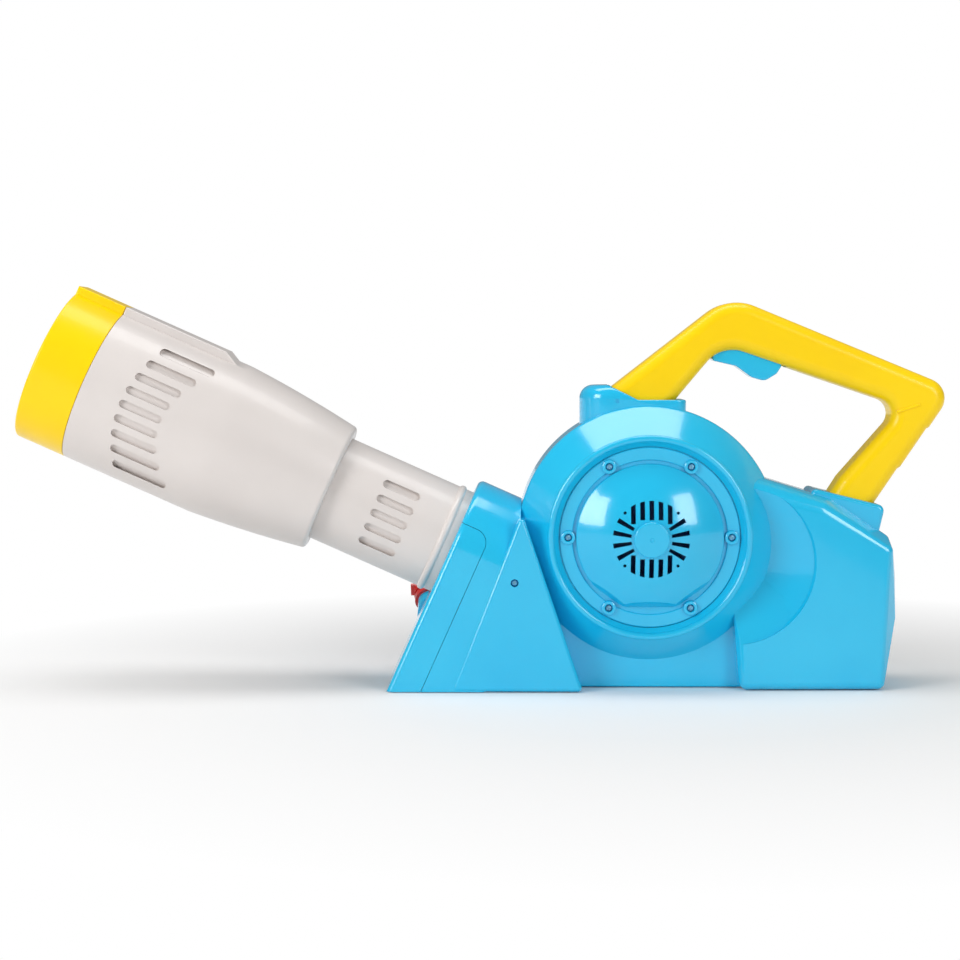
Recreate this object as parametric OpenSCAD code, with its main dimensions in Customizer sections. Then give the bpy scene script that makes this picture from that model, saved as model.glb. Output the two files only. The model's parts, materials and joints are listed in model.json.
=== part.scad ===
// Toy bubble blower: fan drum, bubble wheel over a dip tank, slotted barrel and loop handle.
// X runs along the toy with the muzzle at minus X, Y points to its right side, Z up from the ground.
// Sizes are in millimetres and angles in degrees.

/* [Stance] */
// Height of the fan axis above the ground
fan_z = 78; // [76:0.5:82]
// Slope of the barrel above the ground
tilt = 24; // [23:0.5:25]
// Distance from the fan axis down to the barrel axis, square to the barrel
barrel_drop = 45.5; // [44.5:0.5:47]

/* [Housing] */
// Wall thickness of the moulded shells
wall = 2.2; // [1.8:0.1:2.6]
// Radius of the fan drum at its parting line
drum_r = 66.5; // [65:0.5:68.5]
// Half width of the straight band around the drum
band_w = 16; // [14:0.5:17]
// Radius of the raised crest around each fan cover
crest_r = 50.2; // [49.8:0.2:51]
// Half width of the drum at the crest
crest_w = 33; // [32:0.5:35]
// Radius of the round neck that holds the barrel
neck_r = 35.5; // [35:0.5:37]
// Distance along the barrel axis to the front of the neck
neck_s = 88.8; // [87.8:0.2:90]
// Length of the round collar of the neck
collar_len = 27.3; // [26.5:0.1:28.5]
// Half width of the chin block under the neck
chin_w = 35; // [34:0.5:36]
// Distance from the fan axis back to the end of the tail
tail_reach = 128.4; // [126:0.2:132]
// Half width of the keel under the drum
keel_w = 19; // [17:0.5:22]
// Radius of the outer edge rounding of the tail
tail_round = 7; // [6:0.5:8]

/* [Fan cover] */
// Outer radius of the fan cover
cover_r = 45.8; // [45.4:0.2:46.4]
// Radius of the domed disc of the cover
dome_r = 37.4; // [36.8:0.2:37.8]
// Height of the dome above the cover flange
dome_h = 14; // [12:0.5:16]
// Distance of the flat lower edges of the dome from its centre
flat_d = 33; // [31:0.5:35]
// Radius of the circle of cover screws
cover_screw_r = 41.4; // [41:0.2:41.6]
// Radius of the plain hub disc inside the grille
hub_r = 9; // [8:0.5:10]
// Outer radius of the grille
grille_r = 19.4; // [18:0.2:21]
// Width of one grille slot
grille_slot = 2.4; // [2:0.1:2.8]
// Spacing of the upright grille slots
grille_pitch = 4.6; // [4.3:0.1:5]

/* [Fan] */
// Radius of the impeller
fan_r = 46; // [42:0.5:48]
// Width of the impeller
fan_w = 26; // [22:1:28]
// Number of impeller blades
blades = 11; // [7:1:15]
// Radius of the fan motor can
motor_r = 12; // [10:0.5:13]
// Length of the fan motor can
motor_len = 23; // [20:1:23]
// Radius of the motor shafts
shaft_r = 1; // [0.8:0.1:1.2]

/* [Barrel] */
// Outer radius of the wide front tube and muzzle ring
front_r = 41; // [39.5:0.5:43]
// Outer radius of the narrow rear tube
rear_r = 28; // [27:0.5:28.5]
// Outer radius of the front tube at its back end
taper_r = 34.3; // [33.5:0.2:36]
// Distance along the axis to the back end of the front tube
step_s = 158.8; // [154:0.2:164]
// Distance along the axis to where the taper reaches full width
taper_s = 218; // [212:1:224]
// Distance along the axis to the seam of the muzzle ring
ring_s = 291.8; // [288:0.2:298]
// Length of the muzzle ring
ring_len = 26.6; // [25:0.2:31]
// Wall thickness of the barrel tubes
tube_wall = 2; // [1.6:0.1:2.4]
// Half width of the flat rail on top
rail_w = 12.5; // [10:0.5:14]
// Height of the flat rail above the barrel axis
rail_h = 43.4; // [43:0.2:45.4]
// Number of slots on each side of the front tube
front_slots = 9; // [5:2:9]
// Angle between the front slots
front_step = 12; // [10:0.5:12]
// Number of slots on each side of the rear tube
rear_slots = 5; // [3:2:5]
// Angle between the rear slots
rear_step = 16.5; // [15:0.5:17]
// Width of the barrel slots
slot_w = 3.6; // [3:0.1:4]
// Depth of the barrel slots
slot_deep = 1.3; // [0.9:0.1:1.4]

/* [Handle] */
// Height of the front bend of the handle above the drum
handle_rise = 56.7; // [53:0.5:60]
// Distance back to the rear corner of the handle
handle_reach = 157.4; // [155:0.2:163]
// Width of the handle across the grip
grip_w = 25; // [23:0.5:27]
// Width of the trigger
trigger_w = 15; // [13:0.5:16]
// Turn of the trigger when it is pulled
trigger_turn = 9; // [6:0.5:9]
// Radius of the trigger pin
pin_r = 1.6; // [1.4:0.1:1.8]

/* [Bubble drive] */
// Radius of the bubble wheel
wheel_r = 30; // [28:0.5:30.5]
// Thickness of the bubble wheel
wheel_t = 5; // [4:0.5:6]
// Distance of the wheel axis below the barrel axis
wheel_drop = 30; // [29.5:0.5:31]
// Number of bubble rings in the wheel
rings = 6; // [5:1:6]
// Gear module
gear_m = 0.6; // [0.58:0.01:0.62]
// Teeth of the two large gears
big_teeth = 36; // [34:1:37]
// Teeth of the two small gears
small_teeth = 12; // [12:1:14]
// Radius of the filler spout
spout_r = 9; // [8:0.5:9.5]

/* [Power] */
// Radius of one battery cell
cell_r = 7.1; // [6.9:0.1:7.2]
// Length of one battery cell
cell_len = 49.5; // [48.5:0.5:50.5]
// Length of the battery door
door_len = 64; // [62:0.5:65]

/* [Fits] */
// Gap between fixed parts that meet
fit_gap = 0.2; // [0.15:0.05:0.25]
// Gap around moving parts
run_gap = 0.4; // [0.35:0.05:0.6]
// Radial clearance of turning shafts
shaft_gap = 0.05; // [0.03:0.01:0.08]

/* [Hidden] */

sky = [0.16, 0.69, 0.90];
yellow = [0.98, 0.82, 0.02];
cream = [0.87, 0.85, 0.83];
red = [0.86, 0.14, 0.11];
steel = [0.72, 0.73, 0.75];
dark = [0.13, 0.14, 0.16];
brass = [0.80, 0.65, 0.30];
navy = [0.10, 0.26, 0.50];

crown = drum_r;
collar_s = neck_s - collar_len;
seat_w = crest_w - 6;
seat_in_r = cover_screw_r - 6;
flange_t = 2.2;
flange_w = seat_w + flange_t;
lip = 2.4;
screw_r = 1.25;
head_r = 2.6;
head_h = 1.8;

// Place on the barrel axis: local Z runs to the muzzle and local X is up, square to the barrel
module on_barrel() {
    translate([-barrel_drop * sin(tilt), 0, fan_z - barrel_drop * cos(tilt)])
        rotate([0, tilt - 90, 0])
            children();
}

// Place on the fan axis: local Z runs to the left side
module on_fan() {
    translate([0, 0, fan_z])
        rotate([90, 0, 0])
            children();
}

// Plate drawn in X and Z with its height counted from the fan axis
module side_plate(w) {
    on_fan()
        linear_extrude(w, center = true)
            children();
}

module right_side() {
    translate([-500, 0, -100])
        cube([1000, 500, 500]);
}

module left_side() {
    translate([-500, -500, -100])
        cube([1000, 500, 500]);
}

module above(z) {
    translate([-500, -500, z])
        cube([1000, 1000, 500]);
}

// World X and Z of a point given along and square to the barrel axis
function bx(s, n) = -barrel_drop * sin(tilt) - s * cos(tilt) + n * sin(tilt);
function bz(s, n) = fan_z - barrel_drop * cos(tilt) + s * sin(tilt) + n * cos(tilt);
function n_at(s, z) = (z - bz(s, 0)) / cos(tilt);

function unit(v) = v / norm(v);
function turn(v) = [-v[1], v[0]];
function rot2(p, a) = [p[0] * cos(a) - p[1] * sin(a), p[0] * sin(a) + p[1] * cos(a)];

// Points of one rounded corner between its two neighbours
function corner_pts(a, c, b, r, steps) =
    let (u = unit(a - c), v = unit(b - c), half = acos(u * v) / 2)
    let (ctr = c + unit(u + v) * r / sin(half))
    let (p1 = c + u * r / tan(half) - ctr, p2 = c + v * r / tan(half) - ctr)
    let (a1 = atan2(p1[1], p1[0]), d0 = atan2(p2[1], p2[0]) - a1)
    let (d = d0 > 180 ? d0 - 360 : (d0 < -180 ? d0 + 360 : d0))
    [for (k = [0:steps]) ctr + r * [cos(a1 + d * k / steps), sin(a1 + d * k / steps)]];

// Outline with round corners from a list of x, y and radius
function round_pts(c, steps = 6) = let (m = len(c)) [for (i = [0:m - 1])
    let (q = c[(i + m - 1) % m], p = c[i], n = c[(i + 1) % m])
    each corner_pts([q[0], q[1]], [p[0], p[1]], [n[0], n[1]], p[2], steps)];

// Corner list of a clockwise outline moved inward by d
function inset(c, d) = let (m = len(c)) [for (i = [0:m - 1])
    let (q = c[(i + m - 1) % m], p = c[i], n = c[(i + 1) % m])
    let (e1 = unit([p[0] - q[0], p[1] - q[1]]), e2 = unit([n[0] - p[0], n[1] - p[1]]))
    let (n1 = -turn(e1), n2 = -turn(e2), k = d / (1 + n1 * n2))
    let (convex = e1[0] * e2[1] - e1[1] * e2[0] < 0)
    [p[0] + k * (n1[0] + n2[0]), p[1] + k * (n1[1] + n2[1]), max(0.2, convex ? p[2] - d : p[2] + d)]];

// Section with round corners from squares and circles
module round_rect(w, h, r) {
    square([w - 2 * r, h], center = true);
    square([w, h - 2 * r], center = true);
    for (x = [-1, 1], y = [-1, 1])
        translate([x * (w / 2 - r), y * (h / 2 - r)])
            circle(r, $fn = 32);
}

// Spur gear outline with involute flanks and short teeth
function inv_pt(rb, t) = rb * [cos(t) + t * PI / 180 * sin(t), sin(t) - t * PI / 180 * cos(t)];
function roll(r, rb) = sqrt(max(pow(r / rb, 2) - 1, 0)) * 180 / PI;
function flank(z, m) =
    let (rp = z * m / 2, rb = rp * cos(20), t0 = roll(rp - 1.05 * m, rb), t1 = roll(rp + 0.8 * m, rb))
    let (back = 90 / z - 0.06 / rp * 90 / PI + (tan(20) * 180 / PI - 20))
    [for (i = [0:3]) rot2(inv_pt(rb, t0 + (t1 - t0) * i / 3), -back)];
function tooth(z, m) =
    let (f = flank(z, m), rr = z * m / 2 - 1.05 * m, a = atan2(f[0][1], f[0][0]))
    concat([rr * [cos(a), sin(a)]], f, [for (i = [3:-1:0]) [f[i][0], -f[i][1]]], [rr * [cos(a), -sin(a)]]);
function gear_pts(z, m) = let (t = tooth(z, m))
    [for (k = [0:z - 1]) each [for (p = t) rot2(p, 360 * k / z)]];

// Housing forms

drum_side = concat([[drum_r, band_w]],
    [for (k = [1:6]) let (f = k / 7)
        [drum_r + (crest_r + 1.8 - drum_r) * f + 1.6 * f * (1 - f),
         band_w + (crest_w - 1.8 - band_w) * f]],
    [for (a = [0:30:180]) [crest_r + 1.8 * cos(a), crest_w - 1.8 + 1.8 * sin(a)]],
    [[cover_r + fit_gap, flange_w - 0.4], [cover_r + fit_gap, seat_w], [0, seat_w]]);
drum_count = len(drum_side);
drum_pts = concat(drum_side, [for (i = [drum_count - 1:-1:0]) [drum_side[i][0], -drum_side[i][1]]]);
void_w = seat_w - wall;
void_side = concat([[drum_r - wall, band_w]],
    [for (k = [1:3]) let (f = k / 4)
        [drum_r - wall + (crest_r + 1.6 - drum_r + wall) * f + 4 * f * (1 - f),
         band_w + (void_w - band_w) * f]],
    [[crest_r + 1.6, void_w], [0, void_w]]);
void_count = len(void_side);
void_pts = concat(void_side, [for (i = [void_count - 1:-1:0]) [void_side[i][0], -void_side[i][1]]]);

module drum() {
    on_fan()
        rotate_extrude($fn = 96)
            polygon(drum_pts);
}

module drum_void() {
    on_fan()
        rotate_extrude($fn = 96)
            polygon(void_pts);
    on_fan()
        cylinder(r = seat_in_r, h = 200, center = true, $fn = 96);
}

// Half outline of the round neck with an eased front rim, as radius and place along the axis
function rim(r) = [[r, collar_s], [r, neck_s - 4.2], [r - 0.5, neck_s - 2.4], [r - 1.5, neck_s - 0.9],
    [r - 3, neck_s]];

module collar() {
    on_barrel()
        rotate_extrude($fn = 96)
            polygon(concat(rim(neck_r), [[0, neck_s], [0, collar_s]]));
}

// Neck that is round above its axis and runs straight down to the ground
module tunnel(d) {
    on_barrel() {
        rotate_extrude($fn = 96)
            polygon(concat(rim(neck_r - d), [[0, neck_s], [0, collar_s]]));
        rotate([0, -90, 0])
            linear_extrude(140)
                polygon(concat([for (p = rim(neck_r - d)) [p[1], p[0]]],
                    [for (i = [4:-1:0]) [rim(neck_r - d)[i][1], -rim(neck_r - d)[i][0]]]));
    }
}

// Lower neck between the chin and the tank
module skirt(d) {
    intersection() {
        on_barrel()
            translate([-140, -neck_r + d, collar_s - 1 - 2 * d])
                cube([140, 2 * (neck_r - d), clip_s + 1 + 3 * d - collar_s]);
        above(d);
    }
}

// Web that joins the collar to the drum
module web(d) {
    on_barrel()
        hull() {
            translate([0, 0, collar_s - 0.5])
                cylinder(r = neck_r - d, h = 1.2, $fn = 64);
            translate([-10 + d, -12 + d, 30])
                cube([34 - 2 * d, 24 - 2 * d, 1]);
        }
}

chin_r = 4;
chin_front = collar_s - chin_r;
chin_low = 2;
chin_spots = [[bx(chin_front, 15), bz(chin_front, 15)],
    [bx(chin_front, n_at(chin_front, chin_low)), chin_low],
    [-36.5, chin_low]];

// Chin block that stands on the ground under the neck
module chin(d) {
    intersection() {
        hull()
            for (p = chin_spots, y = [-1, 1])
                translate([p[0], y * (chin_w - chin_r), p[1]])
                    sphere(chin_r - d, $fn = 24);
        above(d);
    }
}

tail_low = 5;
tail_end = tail_reach - tail_round;
door_x = 50;
door_rim = 0.8;
door_screw_at = [door_x + door_len - 3.4, 9];
post_r = 3;
tray_in = cell_len + 3.4;
tray_wall = 1.4;
tray_room = 2.2;
tray_x = door_screw_at[0] - post_r - 0.5 - tray_in - 2 * tray_wall;
foot_x = min(tray_x - tray_room, door_x - door_rim) - wall + tail_round;
tail_spots = [[48, fan_z + 24, 10], [91, fan_z + 11.5, 10], [50, fan_z + 12, 18], [87, fan_z + 9, 18.5],
    [tail_end - 3.5, fan_z - 13.5, 14], [tail_end, fan_z - 18, 10], [tail_end, fan_z - 40, 11],
    [tail_end - 8, tail_low, 21.5], [foot_x, tail_low, 23]];

// Tail with the battery room in its foot
module tail(d) {
    intersection() {
        hull()
            for (p = tail_spots, y = [-1, 1])
                translate([p[0], y * p[2], p[1]])
                    sphere(tail_round - d, $fn = 24);
        above(d);
    }
}

module keel(d) {
    translate([-60 + d, -keel_w + d, d])
        cube([120 - 2 * d, 2 * (keel_w - d), 24 - 2 * d]);
}

saddle_w = grip_w / 2 + 3.2;
saddle_pts = round_pts([[-34.8, crown - 16, 0.3], [-34, crown + 4, 3], [-29.5, crown + 10.4, 3],
    [-20, crown + 10.2, 2], [-5.4, crown + 2.8, 2], [21.2, crown + 2.8, 1.5], [21.2, crown - 16, 0.3]]);

// Front saddle with a round nose
module saddle() {
    intersection() {
        side_plate(4 * saddle_w)
            polygon(saddle_pts);
        union() {
            translate([-34.8 + saddle_w, 0, 0])
                cylinder(r = saddle_w, h = 400, $fn = 64);
            translate([-34.8 + saddle_w, -saddle_w, 0])
                cube([60, 2 * saddle_w, 400]);
        }
    }
}

block_pts = round_pts([[80, 2, 0.3], [82.6, 24.6, 2.5], [123.6, 14.4, 4], [119.4, -4, 0.3]]);

// Rear block that takes the back leg of the handle
module rear_block() {
    side_plate(2 * saddle_w)
        polygon(block_pts);
}

// Handle

handle_corners = [[-14, crown + 0.4, 0.4], [-14, crown + 4, 0.8], [-19.2, crown + 9.3, 0.6],
    [41.9, crown + handle_rise, 24], [handle_reach, handle_rise + 18.6, 10], [112.2, 8.8, 0.8],
    [94.1, 21.1, 0.8], [99.3, 29.4, 8], [handle_reach - 26.5, handle_rise + 8.9, 8],
    [37.9, crown + handle_rise - 25.8, 17], [14.6, crown + 3, 0.8], [14, crown + 0.4, 0.4]];

// One straight bar with round edges through a point, along an angle
module grip_bar(x, z, a, w, d) {
    on_fan()
        translate([x, z, 0])
            rotate([0, 0, a])
                rotate([0, 90, 0])
                    linear_extrude(240, center = true)
                        round_rect(grip_w - 2 * d, w - 2 * d, 7 - d);
}

module handle_form(d) {
    intersection() {
        side_plate(grip_w - 2 * d)
            polygon(round_pts(inset(handle_corners, d)));
        union() {
            grip_bar(14, crown + 21.4, 41, 27, d);
            grip_bar(90, crown + 25.3, -20.1, 26, d);
            grip_bar(handle_reach - 33, 44, 51.5, 25, d);
        }
    }
}

handle_screw_spots = [[9, crown + 17, 11], [104, crown + 20, 11], [114, 28.5, 11]];
trigger_pivot = [38, crown + handle_rise - 22.6];
trigger_corners = [[33.6, trigger_pivot[1] + 3, 2.4], [40.5, trigger_pivot[1] + 4.4, 2.4],
    [48, trigger_pivot[1] - 0.9, 2], [69, trigger_pivot[1] - 4.6, 1.2], [70.2, trigger_pivot[1] - 14.6, 2],
    [67.8, trigger_pivot[1] - 18.6, 3], [60.4, trigger_pivot[1] - 22.8, 5],
    [53.5, trigger_pivot[1] - 20.8, 5], [45.4, trigger_pivot[1] - 14, 6],
    [33.2, trigger_pivot[1] - 11.2, 1.4]];
seat_x = 62.5;
spring_foot = trigger_pivot[1] - 5.6;
spring_top = spring_foot + 13;
switch_x = 52;
switch_z = trigger_pivot[1] + 3.6;
plunger_low = trigger_pivot[1] - 1;

// Space that the trigger sweeps through the underside of the handle
module trigger_way() {
    side_plate(trigger_w + 2 * run_gap)
        polygon([[32.2, trigger_pivot[1] - 16], [71.6, trigger_pivot[1] - 26],
            [71.6, trigger_pivot[1] - 4], [50, trigger_pivot[1] + 3], [32.2, trigger_pivot[1] + 5]]);
}

// Bosses, seats and ribs inside the handle
module handle_inside() {
    for (p = handle_screw_spots)
        side_plate(2 * p[2])
            translate([p[0], p[1]])
                circle(4, $fn = 32);
    side_plate(grip_w - 2 * wall + 0.4)
        translate([seat_x - 5, spring_top])
            square([10, 3]);
    side_plate(grip_w - 2 * wall + 0.4)
        translate([switch_x - 5.4, switch_z + 6.4 + fit_gap])
            square([10.8, 3]);
    for (y = [-1, 1])
        translate([0, y * (trigger_w / 2 + run_gap + 1.4), 0])
            side_plate(2.8)
                translate(trigger_pivot)
                    circle(4.4, $fn = 32);
}

module handle_cuts() {
    trigger_way();
    side_plate(2 * grip_w)
        translate(trigger_pivot)
            circle(pin_r, $fn = 32);
}

module handle_half(side) {
    difference() {
        intersection() {
            union() {
                difference() {
                    handle_form(0);
                    handle_form(wall);
                }
                intersection() {
                    handle_inside();
                    handle_form(wall / 2);
                }
            }
            if (side > 0)
                right_side();
            else
                left_side();
        }
        handle_cuts();
        for (p = handle_screw_spots)
            screw_hole(p[0], p[1], side, 5);
    }
}

module handle_left() {
    color(yellow)
        handle_half(-1);
}

module handle_right() {
    color(yellow)
        handle_half(1);
}

// Hole for one screw driven from the right, with its head depth
module screw_hole(x, z, side, depth) {
    on_fan()
        translate([x, z, 0])
            if (side > 0) {
                translate([0, 0, -depth - 1])
                    cylinder(r = screw_r + fit_gap, h = depth + 2, $fn = 24);
                translate([0, 0, -100])
                    cylinder(r = head_r + 0.5, h = 100 - depth, $fn = 32);
            } else {
                translate([0, 0, -1])
                    cylinder(r = screw_r + shaft_gap, h = 10, $fn = 24);
            }
}

// Screw along Z with its seat at zero and a cross recess in the head
module screw(len) {
    difference() {
        union() {
            cylinder(r = head_r, h = head_h, $fn = 32);
            translate([0, 0, -len])
                cylinder(r = screw_r, h = len + 0.1, $fn = 24);
        }
        for (a = [0, 90])
            rotate([0, 0, a])
                translate([-1.6, -0.35, head_h - 0.9])
                    cube([3.2, 0.7, 2]);
    }
}

module screws_from_right(spots, depth) {
    for (p = spots)
        on_fan()
            translate([p[0], p[1], -depth])
                mirror([0, 0, 1])
                    screw(depth + 8.4);
}

module handle_screws() {
    color(steel)
        screws_from_right(handle_screw_spots, 5);
}

// Housing halves

housing_spots = [[-26, crown + 3, 12], [80, 9, 24], [tail_end - 6, -30, 19], [-42, 9 - fan_z, 33],
    [0, 6.4 - fan_z, 17.5], [36, 6.4 - fan_z, 17.5]];
nozzle_screw_s = 53.4;
nozzle_screw_n = -3;
lug_w = 24;

module housing_form() {
    drum();
    collar();
    web(0);
    chin(0);
    skirt(0);
    tail(0);
    keel(0);
    saddle();
    rear_block();
}

clip_s = neck_s - 15.6;
clip_n = 12.5;

// Region of the neck that belongs to the tank, with a round upper corner
module ear_form(d) {
    on_barrel()
        rotate([90, 0, 0])
            linear_extrude(200, center = true) {
                translate([-140, clip_s + 7 - d])
                    square([140 + clip_n + d, 40]);
                translate([-140, clip_s - d])
                    square([140 + clip_n - 7, 40]);
                translate([clip_n - 7, clip_s + 7])
                    circle(7 + d, $fn = 48);
            }
}

module housing_void() {
    drum_void();
    on_barrel()
        translate([0, 0, collar_s - 1])
            cylinder(r = neck_r - wall, h = collar_len + 1 - lip, $fn = 96);
    on_barrel()
        translate([0, 0, neck_s - lip - 1])
            cylinder(r = rear_r + fit_gap, h = lip + 2, $fn = 96);
    web(wall);
    difference() {
        union() {
            chin(wall);
            skirt(wall);
            tail(wall);
            keel(wall);
        }
        drum();
    }
}

// Shoulder behind the nozzle plate and the lower screw boss of the nozzle
module neck_inside() {
    on_barrel()
        translate([0, 0, plate_s - 2.2])
            difference() {
                cylinder(r = neck_r - 0.4, h = 2.2 - fit_gap, $fn = 96);
                translate([0, 0, -1])
                    cylinder(r = neck_r - wall - 2.4, h = 4, $fn = 96);
                translate([-60 - wheel_drop + 14, -50, -1])
                    cube([60, 100, 4]);
            }
}

plate_t = 2.2;
plate_s = clip_s - 1 - plate_t;
wheel_s = clip_s + 3.8;
door_w = 44;

module housing_half(side) {
    difference() {
        union() {
            difference() {
                intersection() {
                    housing_form();
                    if (side > 0)
                        right_side();
                    else
                        left_side();
                }
                housing_void();
            }
            intersection() {
                neck_inside();
                if (side > 0)
                    right_side();
                else
                    left_side();
            }
            for (p = housing_spots)
                on_fan()
                    translate([p[0], p[1], side > 0 ? -p[2] : 0])
                        cylinder(r = 3.9, h = p[2], $fn = 32);
            if (side < 0)
                nozzle_boss();
            else
                door_post();
        }
        for (p = housing_spots)
            screw_hole(p[0], p[1], side, 6);
        handle_form(-fit_gap);
        ear_form(fit_gap);
        translate([door_x - run_gap, -door_w / 2 - run_gap, -1])
            cube([door_len + 2 * run_gap, door_w + 2 * run_gap, 6]);
        if (side < 0)
            nozzle_hole();
        else
            translate([door_screw_at[0], door_screw_at[1], 1])
                cylinder(r = door_pilot, h = 9, $fn = 24);
        for (a = [0:60:300], m = [-1, 1])
            on_fan()
                rotate([0, 0, a])
                    translate([cover_screw_r, 0, m * (seat_w - 1)])
                        cylinder(r = screw_r + shaft_gap, h = 8, center = true, $fn = 24);
        if (side > 0)
            for (a = [30:120:270])
                on_fan()
                    rotate([0, 0, a])
                        translate([cover_screw_r - 2, 0, -seat_w + 1])
                            cylinder(r = screw_r + shaft_gap, h = 8, center = true, $fn = 24);
    }
}

module nozzle_boss() {
    translate([bx(nozzle_screw_s, nozzle_screw_n), -lug_w - fit_gap, bz(nozzle_screw_s, nozzle_screw_n)])
        rotate([90, 0, 0])
            cylinder(r = 4, h = chin_w - lug_w - 1, $fn = 32);
}

door_pilot = screw_r / 2 + shaft_gap;

// Post in the tail for the screw of the battery door
module door_post() {
    translate([door_screw_at[0], door_screw_at[1], wall])
        cylinder(r = post_r, h = 10, $fn = 32);
    translate([door_screw_at[0], door_screw_at[1] - 0.8, wall])
        cube([tail_end - 3.6 - door_screw_at[0], 1.6, 10]);
}

module nozzle_hole() {
    translate([bx(nozzle_screw_s, nozzle_screw_n), -lug_w + 1, bz(nozzle_screw_s, nozzle_screw_n)])
        rotate([90, 0, 0]) {
            cylinder(r = screw_r + fit_gap, h = 30, $fn = 24);
            translate([0, 0, chin_w - lug_w - 1])
                cylinder(r = head_r + 0.5, h = 10, $fn = 32);
        }
}

module left_housing() {
    color(sky)
        housing_half(-1);
}

module right_housing() {
    color(sky)
        housing_half(1);
}

module housing_screws() {
    color(steel)
        screws_from_right(housing_spots, 6);
}

// Fan covers

dome_ball = (dome_r * dome_r + pow(dome_h - 1.6, 2)) / (2 * (dome_h - 1.6));
dome_top = flange_w + dome_h;
boss_r = 3.5;

module dome_plan(d) {
    difference() {
        circle(dome_r - d, $fn = 96);
        for (a = [-37, 0, 37])
            rotate(a)
                translate([-100, -flat_d + d - 200])
                    square([200, 200]);
    }
}

module dome_solid(d) {
    intersection() {
        translate([0, 0, seat_w - (d > 0 ? 1 : 0)])
            linear_extrude(60)
                dome_plan(d);
        translate([0, 0, dome_top - dome_ball])
            sphere(dome_ball - d, $fn = 128);
    }
}

module grille_cuts() {
    intersection() {
        union() {
            for (i = [-2:2], m = [-1, 1])
                translate([i * grille_pitch, m * grille_r, 0])
                    cube([grille_slot, 2 * (grille_r - hub_r + (abs(i) > 1 ? 1.2 : -0.8)), 200],
                        center = true);
            for (a = [-30, -10, 10, 30, 150, 170, 190, 210])
                rotate([0, 0, a])
                    translate([grille_r, 0, 0])
                        cube([2 * (grille_r - hub_r - 1.2), grille_slot * 0.92, 200], center = true);
        }
        cylinder(r = grille_r, h = 200, center = true, $fn = 96);
    }
    for (a = [45:90:315])
        rotate([0, 0, a])
            translate([grille_r - 0.6, 0, 0])
                cylinder(r = 0.8, h = 200, center = true, $fn = 24);
}

module cover_solid() {
    difference() {
        union() {
            translate([0, 0, seat_w])
                cylinder(r = cover_r, h = flange_t, $fn = 128);
            dome_solid(0);
            translate([0, 0, dome_top - 1.2])
                cylinder(r = hub_r, h = 1.5, $fn = 64);
            for (a = [0:60:300])
                rotate([0, 0, a])
                    translate([cover_screw_r, 0, seat_w])
                        cylinder(r = boss_r, h = flange_t + 1.6, $fn = 32);
        }
        dome_solid(wall);
        translate([0, 0, seat_w + flange_t - 0.9])
            difference() {
                cylinder(r = cover_r - 2.6, h = 3, $fn = 96);
                translate([0, 0, -1])
                    cylinder(r = dome_r + 0.8, h = 5, $fn = 96);
                for (a = [0:60:300])
                    rotate([0, 0, a])
                        translate([cover_screw_r, 0, -1])
                            cylinder(r = boss_r + 0.6, h = 6, $fn = 32);
            }
        translate([0, 0, 60])
            grille_cuts();
        for (a = [0:60:300])
            rotate([0, 0, a])
                translate([cover_screw_r, 0, 0]) {
                    cylinder(r = screw_r + fit_gap, h = 80, $fn = 24);
                    translate([0, 0, seat_w + flange_t - 0.2])
                        cylinder(r = head_r + 0.15, h = 10, $fn = 32);
                }
    }
}

module left_fan_cover() {
    color(sky)
        on_fan()
            cover_solid();
}

module right_fan_cover() {
    color(sky)
        mirror([0, 1, 0])
            on_fan()
                cover_solid();
}

module fan_cover_screws() {
    color(steel)
        for (m = [0, 1])
            mirror([0, m, 0])
                on_fan()
                    for (a = [0:60:300])
                        rotate([0, 0, a])
                            translate([cover_screw_r, 0, seat_w + flange_t - 0.2])
                                screw(flange_t + wall - 0.5);
}

// Fan

fan_back = -fan_w / 2 + 1;
motor_front = fan_back - 3;

module fan_impeller() {
    color(navy)
        on_fan()
            difference() {
                union() {
                    translate([0, 0, fan_back])
                        cylinder(r = fan_r, h = 1.6, $fn = 96);
                    translate([0, 0, fan_back])
                        cylinder(r = 5, h = fan_w - 4, $fn = 48);
                    for (k = [0:blades - 1])
                        rotate([0, 0, 360 / blades * k])
                            translate([fan_r * 0.46, 0, fan_back])
                                rotate([0, 0, 28])
                                    translate([0, -0.7, 0])
                                        cube([fan_r * 0.56, 1.4, fan_w]);
                    translate([0, 0, fan_back + fan_w - 1.4])
                        difference() {
                            cylinder(r = fan_r, h = 1.4, $fn = 96);
                            translate([0, 0, -1])
                                cylinder(r = fan_r * 0.68, h = 4, $fn = 96);
                        }
                }
                translate([0, 0, fan_back - 1])
                    cylinder(r = shaft_r, h = fan_w + 2, $fn = 24);
            }
}

module fan_shaft() {
    color(steel)
        on_fan()
            translate([0, 0, motor_front - motor_len + 2])
                cylinder(r = shaft_r, h = motor_len + fan_w - 6, $fn = 24);
}

module fan_motor() {
    color(steel)
        on_fan()
            difference() {
                union() {
                    translate([0, 0, motor_front - motor_len])
                        cylinder(r = motor_r, h = motor_len, $fn = 64);
                    translate([0, 0, motor_front - 0.5])
                        cylinder(r = 3.4, h = 2, $fn = 32);
                    for (x = [-1, 1])
                        translate([x * 6 - 1.2, -0.3, motor_front - motor_len - 1.6])
                            cube([2.4, 0.6, 2]);
                }
                translate([0, 0, motor_front - motor_len + 1.6])
                    cylinder(r = shaft_r + shaft_gap, h = motor_len + 4, $fn = 24);
            }
}

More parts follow.
